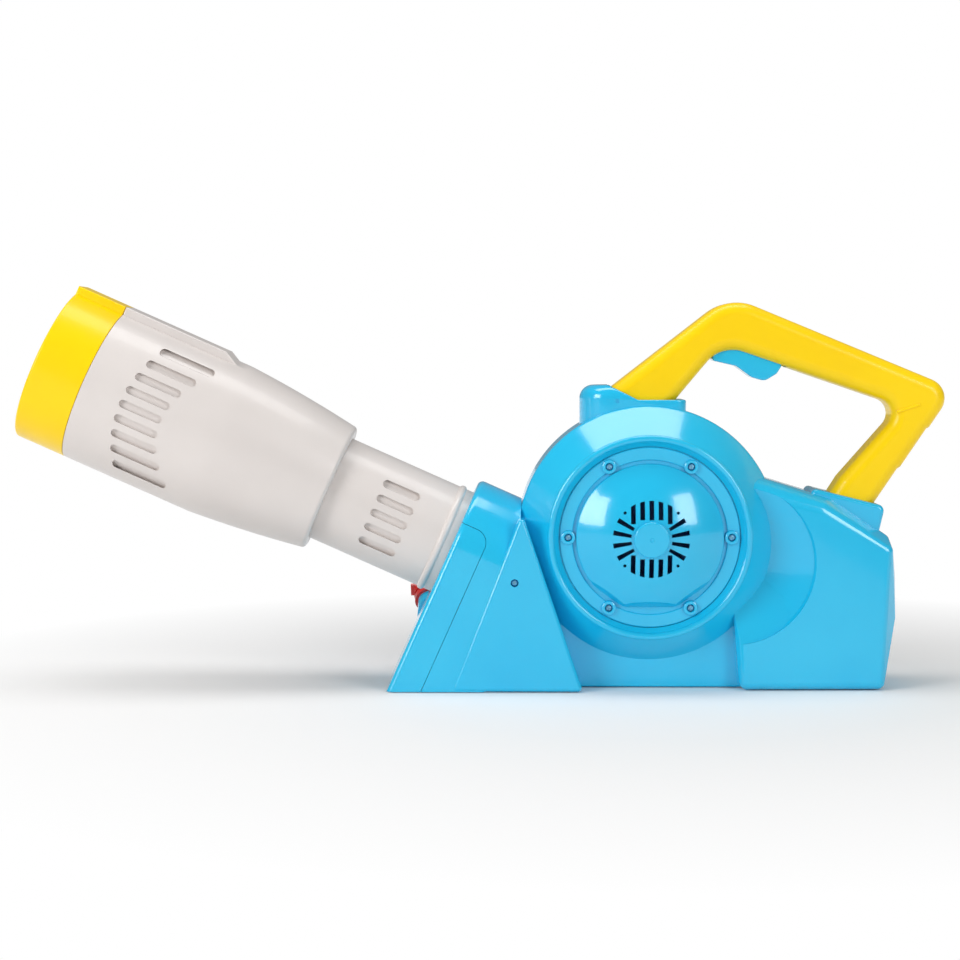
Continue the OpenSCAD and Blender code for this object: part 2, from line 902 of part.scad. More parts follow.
module motor_mount() {
    color(dark)
        on_fan()
            difference() {
                union() {
                    translate([0, 0, -void_w])
                        difference() {
                            cylinder(r = cover_screw_r + 3, h = 2.2, $fn = 96);
                            translate([0, 0, -1])
                                cylinder(r = cover_screw_r - 7.4, h = 5, $fn = 96);
                        }
                    for (a = [30:120:270])
                        rotate([0, 0, a])
                            translate([motor_r, -4, -void_w])
                                cube([cover_screw_r - motor_r, 8, 2.2]);
                    translate([0, 0, -void_w - 8])
                        cylinder(r = motor_r + 2.2, h = 18, $fn = 64);
                }
                translate([0, 0, -void_w - 20])
                    cylinder(r = motor_r, h = 60, $fn = 64);
                for (a = [30:120:270])
                    rotate([0, 0, a])
                        translate([cover_screw_r - 2, 0, -void_w - 1])
                            cylinder(r = screw_r + fit_gap, h = 5, $fn = 24);
            }
}

module motor_mount_screws() {
    color(steel)
        on_fan()
            for (a = [30:120:270])
                rotate([0, 0, a])
                    translate([cover_screw_r - 2, 0, -void_w + 2.2])
                        screw(2.2 + wall - 0.2);
}

// Barrel

// Shallow recess for one barrel slot in a tube of radius r, with round ends
module barrel_slot(ang, s0, s1, r) {
    rotate([0, 0, ang])
        rotate([0, 90, 0])
            translate([0, 0, r - slot_deep]) {
                translate([-s1 + slot_w / 2, 0, 0])
                    cylinder(r = slot_w / 2, h = 20, $fn = 24);
                translate([-s0 - slot_w / 2, 0, 0])
                    cylinder(r = slot_w / 2, h = 20, $fn = 24);
                translate([-s1 + slot_w / 2, -slot_w / 2, 0])
                    cube([s1 - s0 - slot_w, slot_w, 20]);
            }
}

// Flat rail along the top between two places on the axis
module rail(s0, s1, slope, r) {
    difference() {
        translate([r - 4, -rail_w, s0])
            cube([rail_h - r + 4, 2 * rail_w, s1 - s0]);
        if (slope > 0)
            translate([r - 2, -50, s0])
                rotate([0, 58, 0])
                    translate([-60, 0, -60])
                        cube([120, 100, 60]);
    }
}

front_pts = [[rear_r + fit_gap, step_s], [taper_r - 1.6, step_s], [taper_r - 0.5, step_s + 0.5],
    [taper_r, step_s + 1.6],
    [taper_r + (front_r - taper_r) * 0.36, step_s + (taper_s - step_s) * 0.28],
    [taper_r + (front_r - taper_r) * 0.66, step_s + (taper_s - step_s) * 0.55],
    [taper_r + (front_r - taper_r) * 0.88, step_s + (taper_s - step_s) * 0.8],
    [front_r, taper_s + 4], [front_r, ring_s], [front_r - tube_wall, ring_s],
    [front_r - tube_wall, ring_s + 6], [front_r - 2 * tube_wall, ring_s + 6],
    [front_r - 2 * tube_wall, ring_s - 4],
    [front_r - tube_wall, ring_s - 7], [front_r - tube_wall, taper_s + 4],
    [taper_r + (front_r - taper_r) * 0.66 - tube_wall, step_s + (taper_s - step_s) * 0.55],
    [taper_r + (front_r - taper_r) * 0.36 - tube_wall, step_s + (taper_s - step_s) * 0.28],
    [rear_r + tube_wall, step_s + 10], [rear_r + tube_wall, step_s + 14], [rear_r + fit_gap, step_s + 14]];

front_mid = (front_slots - 1) / 2;
rear_mid = (rear_slots - 1) / 2;

module front_tube() {
    color(cream)
        on_barrel()
            difference() {
                union() {
                    rotate_extrude($fn = 128)
                        polygon(front_pts);
                    difference() {
                        rail(ring_s - 66, ring_s, 1, front_r);
                        cylinder(r = front_r - tube_wall / 2, h = 400, $fn = 96);
                    }
                }
                for (i = [0:front_slots - 1], m = [-1, 1])
                    let (f = pow((i - front_mid) * front_step / 48, 2))
                        barrel_slot(m * 90 + m * (i - front_mid) * front_step,
                            ring_s - 44.8 - 13.2 * f, ring_s - 21.6 - 6.6 * f, front_r);
            }
}

rear_end = neck_s - lip - fit_gap - 2;
bead_s = neck_s + 7.2;

module rear_tube() {
    color(cream)
        on_barrel()
            difference() {
                union() {
                    rotate_extrude($fn = 128)
                        polygon([[rear_r - tube_wall, rear_end], [neck_r - wall - 0.8, rear_end],
                            [neck_r - wall - 0.8, neck_s - lip - fit_gap], [rear_r, neck_s - lip - fit_gap],
                            [rear_r, bead_s - 1.6], [rear_r + 0.9, bead_s - 1.1], [rear_r + 1.2, bead_s],
                            [rear_r + 0.9, bead_s + 1.1], [rear_r, bead_s + 1.6], [rear_r, step_s + 16],
                            [rear_r - tube_wall, step_s + 16]]);
                }
                for (i = [0:rear_slots - 1], m = [-1, 1])
                    barrel_slot(m * 90 + m * (i - rear_mid) * rear_step, neck_s + 25.7, neck_s + 45.9, rear_r);
            }
}

ring_end = ring_s + ring_len;

module muzzle_ring() {
    color(yellow)
        on_barrel()
            difference() {
                union() {
                    rotate_extrude($fn = 128)
                        polygon([[front_r - tube_wall + fit_gap, ring_s], [front_r, ring_s],
                            [front_r, ring_end - 2],
                            [front_r - 0.4, ring_end - 0.8], [front_r - 1.4, ring_end],
                            [front_r - 3.2, ring_end], [front_r - 4.2, ring_end - 0.9],
                            [front_r - 4.4, ring_end - 2.2], [front_r - 4.4, ring_s + 7.4],
                            [front_r - tube_wall + fit_gap, ring_s + 7.4]]);
                    difference() {
                        rail(ring_s, ring_end - 1, 0, front_r);
                        cylinder(r = front_r - tube_wall / 2, h = 400, $fn = 96);
                    }
                }
            }
}

// Trigger group

module trigger() {
    color(sky)
        difference() {
            side_plate(trigger_w)
                polygon(round_pts(trigger_corners));
            side_plate(2 * trigger_w)
                translate(trigger_pivot)
                    circle(pin_r + shaft_gap, $fn = 32);
            on_fan()
                translate([seat_x, spring_foot, 0])
                    rotate([-90, 0, 0])
                        cylinder(r = 4.6, h = 20, $fn = 32);
            side_plate(4.6)
                translate([switch_x - 2.4, plunger_low - 0.35])
                    square([4.8, 20]);
        }
}

module trigger_pin() {
    color(steel)
        on_fan()
            translate([trigger_pivot[0], trigger_pivot[1], -grip_w / 2 + wall + 0.6])
                cylinder(r = pin_r, h = grip_w - 2 * wall - 1.2, $fn = 32);
}

wire_r = 0.45;
coil_r = 3.6;
coil_turns = 6;
coil_rings = 8;
coil_steps = coil_turns * coil_rings;
coil_low = spring_foot + wire_r + 0.1;
coil_high = spring_top - wire_r - 0.1;
function coil_ctr(i) = [coil_r * cos(360 * i / coil_rings), coil_r * sin(360 * i / coil_rings),
    coil_low + (coil_high - coil_low) * i / coil_steps];
coil_pts = [for (i = [0:coil_steps], k = [0:5]) let (c = coil_ctr(i), a = 360 * i / coil_rings)
    [c[0] + wire_r * cos(60 * k) * cos(a), c[1] + wire_r * cos(60 * k) * sin(a),
     c[2] + wire_r * sin(60 * k)]];
coil_faces = concat([[for (k = [0:5]) k]],
    [for (i = [0:coil_steps - 1], k = [0:5]) let (j = (k + 1) % 6)
        [i * 6 + j, i * 6 + k, (i + 1) * 6 + k, (i + 1) * 6 + j]],
    [[for (k = [5:-1:0]) coil_steps * 6 + k]]);
echo(spring_gap = (coil_high - coil_low) / coil_turns - 2 * wire_r);

module trigger_spring() {
    color(steel)
        translate([seat_x, 0, fan_z])
            polyhedron(coil_pts, coil_faces, convexity = 8);
}

module trigger_switch() {
    color(dark)
        difference() {
            side_plate(6)
                translate([switch_x - 5.2, switch_z])
                    square([10.4, 6.4]);
            side_plate(3.4)
                translate([switch_x - 1.7, switch_z - 1])
                    square([3.4, 5.6]);
        }
}

module switch_plunger() {
    color(red)
        side_plate(2.6)
            translate([switch_x - 1.3, plunger_low])
                square([2.6, switch_z - plunger_low + 1.6]);
}

// Dip tank and bubble drive

tank_wall = 1.8;
axle_y = gear_m * (big_teeth + small_teeth) / 2;
case_r = gear_m * big_teeth / 2 + 2.6;
ear_at = (case_r + 3) * 0.7;
case_spots = [[-wheel_drop, -case_r - 2.6], [-wheel_drop + ear_at, axle_y + ear_at],
    [-wheel_drop - ear_at, axle_y + ear_at]];
window_r = 8.4;
nozzle_n = -10;
shaft_w = 2;
seal_r = 3.8;
spout_lean = 50;
spout_tip = 23;
spout_wall = 1.6;
spout_s = (clip_s + neck_s) / 2;
spout_at = [bx(spout_s, n_at(spout_s, 27)), neck_r - 4, 27];

// Place on the filler spout: local Z points out of its mouth
module on_spout() {
    translate(spout_at)
        rotate([-spout_lean, 0, 0])
            children();
}

module dip_tank() {
    color(sky)
        difference() {
            union() {
                difference() {
                    intersection() {
                        tunnel(0);
                        ear_form(0);
                        above(0);
                    }
                    intersection() {
                        tunnel(wall);
                        on_barrel()
                            translate([-200, -100, clip_s + tank_wall])
                                cube([300, 200, neck_s - lip - clip_s - tank_wall]);
                        above(tank_wall);
                    }
                }
                intersection() {
                    on_spout()
                        translate([0, 0, -12])
                            cylinder(r = spout_r, h = spout_tip + 12, $fn = 64);
                    translate([-300, neck_r - wall / 2, 0])
                        cube([400, 200, 200]);
                }
            }
            on_barrel() {
                translate([0, 0, neck_s - lip - 1])
                    cylinder(r = rear_r + fit_gap, h = 10, $fn = 96);
                translate([-wheel_drop, 0, clip_s - 1])
                    cylinder(r = seal_r, h = 4, $fn = 32);
                translate([nozzle_n, 0, clip_s - 1])
                    cylinder(r = window_r + fit_gap, h = 4, $fn = 48);
            }
            on_spout()
                translate([0, 0, -14])
                    cylinder(r = spout_r - spout_wall, h = 60, $fn = 64);
        }
}

module shaft_seal() {
    color(dark)
        on_barrel()
            translate([-wheel_drop, 0, 0])
                difference() {
                    union() {
                        translate([0, 0, clip_s])
                            cylinder(r = seal_r, h = tank_wall + 0.6, $fn = 32);
                        translate([0, 0, clip_s + tank_wall])
                            cylinder(r = seal_r + 1, h = 0.9, $fn = 32);
                    }
                    translate([0, 0, clip_s - 1])
                        cylinder(r = shaft_w + shaft_gap, h = 8, $fn = 32);
                }
}

// Outline of the nozzle plate that fills the neck
module plate_plan(d) {
    difference() {
        union() {
            circle(neck_r - wall - d, $fn = 96);
            translate([-wheel_drop - 16, -neck_r + wall + d])
                square([wheel_drop + 16, 2 * (neck_r - wall - d)]);
        }
        translate([-wheel_drop - 216, -100])
            square(200);
    }
}

module nozzle_plate() {
    color(sky)
        difference() {
            union() {
                on_barrel() {
                    translate([0, 0, plate_s])
                        linear_extrude(plate_t)
                            plate_plan(fit_gap);
                    translate([nozzle_n, 0, plate_s])
                        cylinder(r = window_r, h = wheel_s - 1 - plate_s, $fn = 48);
                    translate([nozzle_screw_n - 4, -lug_w, nozzle_screw_s - 4])
                        cube([8, 5, plate_s + 0.5 - nozzle_screw_s + 4]);
                }
            }
            on_barrel() {
                translate([nozzle_n, 0, plate_s - 1])
                    cylinder(r = window_r - 1.5, h = 20, $fn = 48);
                translate([-wheel_drop, 0, plate_s - 1])
                    cylinder(r = shaft_w + 1, h = 20, $fn = 32);
                for (p = case_spots)
                    translate([p[0], p[1], plate_s - 1])
                        cylinder(r = screw_r + shaft_gap, h = 10, $fn = 24);
            }
            translate([bx(nozzle_screw_s, nozzle_screw_n), -lug_w + 8, bz(nozzle_screw_s, nozzle_screw_n)])
                rotate([90, 0, 0])
                    cylinder(r = screw_r + shaft_gap, h = 20, $fn = 24);
        }
}

module nozzle_screw() {
    color(steel)
        translate([bx(nozzle_screw_s, nozzle_screw_n), -chin_w + 2, bz(nozzle_screw_s, nozzle_screw_n)])
            rotate([90, 0, 0])
                screw(chin_w - lug_w + 1.6);
}

ring_at = wheel_r * 0.66;
hoop_r = wheel_r * 0.285;

module bubble_wheel() {
    color(yellow)
        on_barrel()
            translate([-wheel_drop, 0, wheel_s])
                difference() {
                    union() {
                        difference() {
                            cylinder(r = wheel_r, h = wheel_t, $fn = 96);
                            translate([0, 0, -1])
                                cylinder(r = wheel_r - 1.8, h = wheel_t + 2, $fn = 96);
                        }
                        cylinder(r = 5, h = wheel_t, $fn = 48);
                        for (k = [0:rings - 1])
                            rotate([0, 0, 360 / rings * k]) {
                                translate([ring_at, 0, 0])
                                    cylinder(r = hoop_r, h = wheel_t, $fn = 64);
                                translate([3, -1.2, 1])
                                    cube([ring_at - 6, 2.4, wheel_t - 2]);
                            }
                    }
                    for (k = [0:rings - 1])
                        rotate([0, 0, 360 / rings * k])
                            translate([ring_at, 0, -1])
                                cylinder(r = hoop_r - 1.6, h = wheel_t + 2, $fn = 64);
                    translate([0, 0, -1])
                        cylinder(r = shaft_w, h = wheel_t + 2, $fn = 32);
                }
}

module wheel_shaft() {
    color(steel)
        on_barrel()
            translate([-wheel_drop, 0, gear_s + 5])
                cylinder(r = shaft_w, h = wheel_s + wheel_t + 1 - gear_s - 5, $fn = 32);
}

// Gear train in two stages on two axes

case_s = plate_s - 18;
cover_s = plate_s - 2.4;
gear_s = case_s + 3;
axle_r = 1;

module case_plan(d) {
    for (y = [0, axle_y])
        translate([-wheel_drop, y])
            circle(case_r - d, $fn = 64);
    translate([-wheel_drop - case_r + d, 0])
        square([2 * (case_r - d), axle_y]);
}

module case_ears() {
    for (p = case_spots)
        translate([p[0], p[1]])
            circle(3.2, $fn = 32);
}

module case_holes(r) {
    for (p = case_spots)
        translate([p[0], p[1], case_s - 2])
            cylinder(r = r, h = 40, $fn = 24);
}

module gear_case() {
    color(dark)
        on_barrel()
            difference() {
                union() {
                    translate([0, 0, case_s])
                        linear_extrude(cover_s - case_s)
                            case_plan(0);
                    translate([0, 0, cover_s - 3])
                        linear_extrude(3)
                            case_ears();
                }
                translate([0, 0, case_s + 2])
                    linear_extrude(40)
                        case_plan(1.6);
                translate([-wheel_drop, 0, case_s - 1])
                    cylinder(r = 3.4, h = 6, $fn = 32);
                translate([-wheel_drop, axle_y, case_s - 1])
                    cylinder(r = axle_r, h = 6, $fn = 32);
                case_holes(screw_r + fit_gap);
            }
}

module gear_cover() {
    color(dark)
        on_barrel()
            difference() {
                union() {
                    translate([0, 0, cover_s])
                        linear_extrude(2.4) {
                            case_plan(0);
                            case_ears();
                        }
                    translate([-wheel_drop, 0, cover_s - 3.2])
                        cylinder(r = 4, h = 4, $fn = 32);
                }
                translate([-wheel_drop, 0, cover_s - 5])
                    cylinder(r = shaft_w + shaft_gap, h = 10, $fn = 32);
                translate([-wheel_drop, axle_y, cover_s - 5])
                    cylinder(r = axle_r, h = 10, $fn = 32);
                case_holes(screw_r + fit_gap);
            }
}

module gear_case_screws() {
    color(steel)
        on_barrel()
            for (p = case_spots)
                translate([p[0], p[1], cover_s - 3])
                    mirror([0, 0, 1])
                        screw(7.2);
}

module wheel_motor() {
    color(steel)
        on_barrel()
            translate([-wheel_drop, 0, case_s - 20])
                difference() {
                    union() {
                        cylinder(r = 9.5, h = 20, $fn = 64);
                        cylinder(r = 3.4, h = 21.6, $fn = 32);
                        for (y = [-1, 1])
                            translate([-0.3, y * 5 - 1, -1.6])
                                cube([0.6, 2, 2]);
                    }
                    translate([0, 0, 1.6])
                        cylinder(r = shaft_r + shaft_gap, h = 30, $fn = 24);
                }
}

module motor_pinion() {
    color(brass)
        on_barrel()
            translate([-wheel_drop, 0, 0]) {
                translate([0, 0, case_s - 18])
                    cylinder(r = shaft_r, h = 22.5, $fn = 24);
                translate([0, 0, gear_s])
                    linear_extrude(3.6)
                        polygon(gear_pts(small_teeth, gear_m));
            }
}

module idler_gear() {
    color(cream)
        on_barrel()
            translate([-wheel_drop, axle_y, 0])
                difference() {
                    union() {
                        translate([0, 0, gear_s])
                            rotate([0, 0, mesh_turn(big_teeth, small_teeth)])
                                linear_extrude(3)
                                    polygon(gear_pts(big_teeth, gear_m));
                        translate([0, 0, gear_s + 2.9])
                            rotate([0, 0, mesh_turn(small_teeth, big_teeth)])
                                linear_extrude(5.2)
                                    polygon(gear_pts(small_teeth, gear_m));
                        translate([0, 0, gear_s - 0.7])
                            cylinder(r = 2.2, h = cover_s - gear_s + 0.4, $fn = 32);
                    }
                    translate([0, 0, gear_s - 2])
                        cylinder(r = axle_r + shaft_gap, h = 30, $fn = 32);
                }
}

// Turn that puts a tooth space of one gear opposite a tooth of its mate
function mesh_turn(z, mate) = 270 - 180 / z + ((90 - floor(90 * mate / 360) * 360 / mate) * mate / z);

module idler_axle() {
    color(steel)
        on_barrel()
            translate([-wheel_drop, axle_y, case_s + 0.4])
                cylinder(r = axle_r, h = plate_s - case_s - 0.8, $fn = 32);
}

module output_gear() {
    color(cream)
        on_barrel()
            translate([-wheel_drop, 0, gear_s + 5])
                difference() {
                    union() {
                        linear_extrude(3)
                            polygon(gear_pts(big_teeth, gear_m));
                        cylinder(r = 4, h = 3.4, $fn = 32);
                    }
                    translate([0, 0, -1])
                        cylinder(r = shaft_w, h = 8, $fn = 32);
                }
}

// Filler cap with a hinge beside the spout

cap_gap = 0.6;
cap_skirt = 4;
cap_r = spout_r + cap_gap + 1.5;
cap_low = spout_tip - cap_skirt;
hinge_x = cap_r + 2.2;
hinge_r = 1.9;
hinge_pin_r = 0.9;

module filler_cap() {
    color(red)
        on_spout()
            difference() {
                union() {
                    translate([0, 0, cap_low])
                        cylinder(r = cap_r, h = cap_skirt + run_gap + 1.4, $fn = 64);
                    translate([0, 0, cap_low + cap_skirt + run_gap + 1])
                        cylinder(r1 = cap_r - 0.4, r2 = cap_r - 1.6, h = 1.2, $fn = 64);
                    translate([cap_r - 1, -2, cap_low])
                        cube([hinge_x - cap_r + 1, 4, hinge_r]);
                    translate([hinge_x, 2, cap_low])
                        rotate([90, 0, 0])
                            cylinder(r = hinge_r, h = 4, $fn = 32);
                    translate([hinge_x, 4.6, cap_low])
                        rotate([90, 0, 0])
                            cylinder(r = hinge_pin_r, h = 9.2, $fn = 24);
                    translate([-cap_r - 2, -4, cap_low + cap_skirt])
                        cube([4, 8, 1.4]);
                }
                translate([0, 0, cap_low - 1])
                    cylinder(r = spout_r + cap_gap, h = cap_skirt + run_gap + 1, $fn = 64);
            }
}

module cap_strap() {
    color(red)
        on_spout()
            difference() {
                union() {
                    translate([0, 0, cap_low - 4.2])
                        cylinder(r = spout_r + 1.6, h = 3.4, $fn = 64);
                    for (y = [-1, 1])
                        translate([0, y * 3.6 - 1.1, 0]) {
                            translate([spout_r, 0, cap_low - 4.2])
                                cube([hinge_x - spout_r + hinge_r, 2.2, 2]);
                            translate([hinge_x - hinge_r, 0, cap_low - 4.2])
                                cube([2 * hinge_r, 2.2, 4.2]);
                            translate([hinge_x, 2.2, cap_low])
                                rotate([90, 0, 0])
                                    cylinder(r = hinge_r, h = 2.2, $fn = 32);
                        }
                }
                translate([0, 0, cap_low - 10])
                    cylinder(r = spout_r, h = 30, $fn = 64);
                translate([hinge_x, 10, cap_low])
                    rotate([90, 0, 0])
                        cylinder(r = hinge_pin_r + shaft_gap, h = 20, $fn = 24);
            }
}

// Battery room in the foot of the tail

cell_z = 3 + cell_r;
cell_gap = 2 * cell_r + 0.4;
tray_w = 1.5 * cell_gap + 0.2;
cell_x = tray_x + tray_wall + 2;

module battery_tray() {
    color(dark)
        difference() {
            translate([tray_x, -tray_w - tray_wall, wall])
                cube([tray_in + 2 * tray_wall, 2 * (tray_w + tray_wall), cell_z + cell_r + 1.9 - wall]);
            translate([tray_x + tray_wall, -tray_w, 0])
                cube([tray_in, 2 * tray_w, cell_z + cell_r + 0.3]);
        }
}

module battery_cells() {
    for (k = [-1, 0, 1])
        translate([cell_x, k * cell_gap, cell_z])
            rotate([0, 90, 0]) {
                color(brass)
                    cylinder(r = cell_r, h = cell_len - 1.2, $fn = 48);
                color(steel)
                    translate([0, 0, k == 0 ? -1.2 : cell_len - 1.3])
                        cylinder(r = 2.6, h = 1.3, $fn = 24);
            }
}

module battery_contacts() {
    color(steel)
        for (k = [-1, 0, 1], e = [0, 1])
            translate([tray_x + tray_wall + e * (tray_in - 0.5), k * cell_gap - 4, cell_z - 4])
                cube([0.5, 8, 8]);
}

module battery_door() {
    color(sky)
        difference() {
            translate([door_x, -door_w / 2, 0.3])
                cube([door_len, door_w, wall - 0.5]);
            translate([door_screw_at[0], door_screw_at[1], -1])
                cylinder(r = screw_r + fit_gap, h = 8, $fn = 24);
            translate([door_screw_at[0], door_screw_at[1], -1])
                cylinder(r = head_r + 0.3, h = 1.9, $fn = 32);
            for (k = [0:4])
                translate([door_x + 5 + 3 * k, -6, -1])
                    cube([1.4, 12, 1.7]);
        }
}

module battery_door_screw() {
    color(steel)
        translate([door_screw_at[0], door_screw_at[1], 0.9])
            mirror([0, 0, 1])
                scale(0.5)
                    screw(16);
}

left_housing();
right_housing();
left_fan_cover();
right_fan_cover();
fan_cover_screws();
housing_screws();
fan_impeller();
fan_shaft();
fan_motor();
motor_mount();
motor_mount_screws();
rear_tube();
front_tube();
muzzle_ring();
handle_left();
handle_right();
handle_screws();
trigger();
trigger_pin();
trigger_spring();
trigger_switch();
switch_plunger();
dip_tank();
nozzle_plate();
nozzle_screw();
bubble_wheel();
wheel_shaft();
shaft_seal();
gear_case();
gear_cover();
gear_case_screws();
wheel_motor();
motor_pinion();
idler_gear();
idler_axle();
output_gear();
filler_cap();
cap_strap();
battery_tray();
battery_cells();
battery_contacts();
battery_door();
battery_door_screw();
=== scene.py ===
"""Looks of a toy bubble blower: blue housing, cream slotted barrel, yellow muzzle and handle."""
import json
import math

import bpy
from mathutils import Matrix, Vector


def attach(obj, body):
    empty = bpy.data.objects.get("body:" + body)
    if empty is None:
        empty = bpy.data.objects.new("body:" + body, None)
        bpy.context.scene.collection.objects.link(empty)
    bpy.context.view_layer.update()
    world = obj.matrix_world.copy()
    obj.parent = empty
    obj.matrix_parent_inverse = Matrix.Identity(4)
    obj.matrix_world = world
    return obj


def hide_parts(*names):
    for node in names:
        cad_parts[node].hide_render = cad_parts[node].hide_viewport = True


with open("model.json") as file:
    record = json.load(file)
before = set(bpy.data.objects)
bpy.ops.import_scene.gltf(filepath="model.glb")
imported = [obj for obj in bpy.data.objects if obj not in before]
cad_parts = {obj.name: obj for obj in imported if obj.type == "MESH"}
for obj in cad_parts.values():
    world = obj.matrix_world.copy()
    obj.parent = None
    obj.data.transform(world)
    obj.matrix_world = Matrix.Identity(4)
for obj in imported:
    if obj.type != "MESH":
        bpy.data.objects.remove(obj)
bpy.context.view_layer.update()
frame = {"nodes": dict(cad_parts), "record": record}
MM = 0.001

# Stance of the toy, in millimetres and degrees
FAN_Z = 78.0
TILT = math.radians(24.0)
BARREL_DROP = 45.5

# Housing
DRUM_R = 66.5
BAND_W = 16.0
CREST_R = 50.2
CREST_W = 33.0
SEAT_W = CREST_W - 6.0
SEAT_IN_R = 35.4
CREST_ROUND = 1.8
WALL = 2.2
NECK_R = 35.5
NECK_S = 88.8
LIP_S = 90.2
NECK_FRONT = 2.4
NECK_RIM = 3.0
TANK_FLOOR = 1.6
CLIP_S = NECK_S - 15.6
EAR_S = CLIP_S + 1.2
CLIP_N = 13.8
CROWN = DRUM_R
SADDLE_W = 15.7
SEAM = 0.12

# Fan cover
COVER_R = 45.8
COVER_SCREW_R = 41.4
DOME_R = 37.4
DOME_H = 14.0
FLANGE_W = SEAT_W + 2.2
DOME_TOP = FLANGE_W + DOME_H
LID_LOW = FLANGE_W - 0.9
HUB_R = 9.0
GRILLE_R = 19.4
GRILLE_STEP = 4.6
GRILLE_HALF = 1.2
PIN_HOLE_R = 0.8

# Barrel
FRONT_R = 41.0
REAR_R = 28.0
TAPER_R = 34.3
STEP_S = 158.8
TAPER_S = 218.0
RING_S = 291.8
RING_END = RING_S + 26.6
RAIL_W = 12.5
RAIL_H = 43.4
SLOT_W = 4.0
SLOT_DEEP = 2.0
TUBE_WALL = 2.0
TUBE_FIT = 0.2
TUBE_EDGE = 0.25
BORE_WALL = 3.2
RING_GAP = 0.1
RING_TONGUE = 7.4

# Handle
GRIP_HALF = 12.5
HANDLE_RISE = 56.7
HANDLE_REACH = 157.4
EDGE_STEP = 0.8
TRIGGER_W = 15.0
PIVOT = (38.0, CROWN + HANDLE_RISE - 22.6)

# Screws
SCREW_GAP = 0.02
SCREW_WELL_R = 3.1
PILOT_R = 1.5
HOUSING_SEAT = 6.0
HANDLE_SEAT = 5.0

# Filler spout
SPOUT_R = 9.0
SPOUT_BORE = SPOUT_R - 1.6
SPOUT_TIP = 23.0
SPOUT_Z = 27.0
SPOUT_LEAN = math.radians(50.0)


# The barrel has its own measures: s runs along its axis to the muzzle, n is square to it and points up
def barrel_x(s, n):
    return -BARREL_DROP * math.sin(TILT) - s * math.cos(TILT) + n * math.sin(TILT)


def barrel_z(s, n):
    return FAN_Z - BARREL_DROP * math.cos(TILT) + s * math.sin(TILT) + n * math.cos(TILT)


# Places: each matrix carries a piece drawn in millimetres to its seat on the toy
SCALE = Matrix.Scale(MM, 4)
ON_BARREL = SCALE @ Matrix((
    (math.sin(TILT), 0.0, -math.cos(TILT), barrel_x(0, 0)),
    (0.0, 1.0, 0.0, 0.0),
    (math.cos(TILT), 0.0, math.sin(TILT), barrel_z(0, 0)),
    (0.0, 0.0, 0.0, 1.0)))
ON_FAN_LEFT = SCALE @ Matrix((
    (1.0, 0.0, 0.0, 0.0),
    (0.0, 0.0, -1.0, 0.0),
    (0.0, 1.0, 0.0, FAN_Z),
    (0.0, 0.0, 0.0, 1.0)))
FLIP_Y = Matrix.Scale(-1.0, 4, Vector((0.0, 1.0, 0.0)))
ON_FAN_RIGHT = FLIP_Y @ ON_FAN_LEFT
SPOUT_S = (CLIP_S + NECK_S) / 2
SPOUT_N = (SPOUT_Z - barrel_z(SPOUT_S, 0)) / math.cos(TILT)
ON_SPOUT = SCALE @ Matrix.Translation((barrel_x(SPOUT_S, SPOUT_N), NECK_R - 4.0, SPOUT_Z)) \
    @ Matrix.Rotation(-SPOUT_LEAN, 4, "X")
COVER_SCREWS = [Matrix.Rotation(math.radians(a), 4, "Z") @ Matrix.Translation((COVER_SCREW_R, 0, 0))
                for a in range(0, 360, 60)]
UPRIGHT = SCALE @ Matrix((
    (1.0, 0.0, 0.0, 0.0),
    (0.0, 0.0, 1.0, 0.0),
    (0.0, 1.0, 0.0, FAN_Z),
    (0.0, 0.0, 0.0, 1.0)))
# Turns the local axes so that a slab drawn in the plane of the barrel axis is extruded sideways
SIDEWAYS = Matrix(((1, 0, 0, 0), (0, 0, 1, 0), (0, 1, 0, 0), (0, 0, 0, 1)))


# Modelling steps

def clear_selection():
    if bpy.context.object and bpy.context.object.mode != "OBJECT":
        bpy.ops.object.mode_set(mode="OBJECT")
    bpy.ops.object.select_all(action="DESELECT")


def pick(obj):
    clear_selection()
    obj.select_set(True)
    bpy.context.view_layer.objects.active = obj


def draw(name, points):
    """Draws a closed wire by extruding one vertex from point to point, and leaves it in edit mode."""
    clear_selection()
    bpy.ops.mesh.primitive_plane_add(size=1.0)
    obj = bpy.context.object
    obj.name = name
    obj.data.name = name
    bpy.ops.object.mode_set(mode="EDIT")
    bpy.ops.mesh.select_all(action="SELECT")
    bpy.ops.mesh.merge(type="CENTER")
    bpy.ops.transform.translate(value=Vector(points[0]))
    route = list(points) + [points[0]]
    for a, b in zip(route, route[1:]):
        bpy.ops.mesh.extrude_vertices_move(TRANSFORM_OT_translate={"value": Vector(b) - Vector(a)})
    bpy.ops.mesh.select_all(action="SELECT")
    bpy.ops.mesh.remove_doubles(threshold=0.002)
    bpy.ops.mesh.select_all(action="SELECT")
    return obj


def settle(obj, place):
    """Carries a finished shape to its seat and bakes the place into its mesh."""
    pick(obj)
    obj.matrix_world = place
    bpy.ops.object.transform_apply(location=True, rotation=True, scale=True)
    return face_outward(obj)


def face_outward(obj):
    """Turns a closed shape whose faces point inward."""
    mesh = obj.data
    mesh.calc_loop_triangles()
    corners = [[mesh.vertices[i].co for i in t.vertices] for t in mesh.loop_triangles]
    if sum(a.dot(b.cross(c)) for a, b, c in corners) < 0:
        pick(obj)
        bpy.ops.object.mode_set(mode="EDIT")
        bpy.ops.mesh.select_all(action="SELECT")
        bpy.ops.mesh.flip_normals()
        bpy.ops.object.mode_set(mode="OBJECT")
    return obj


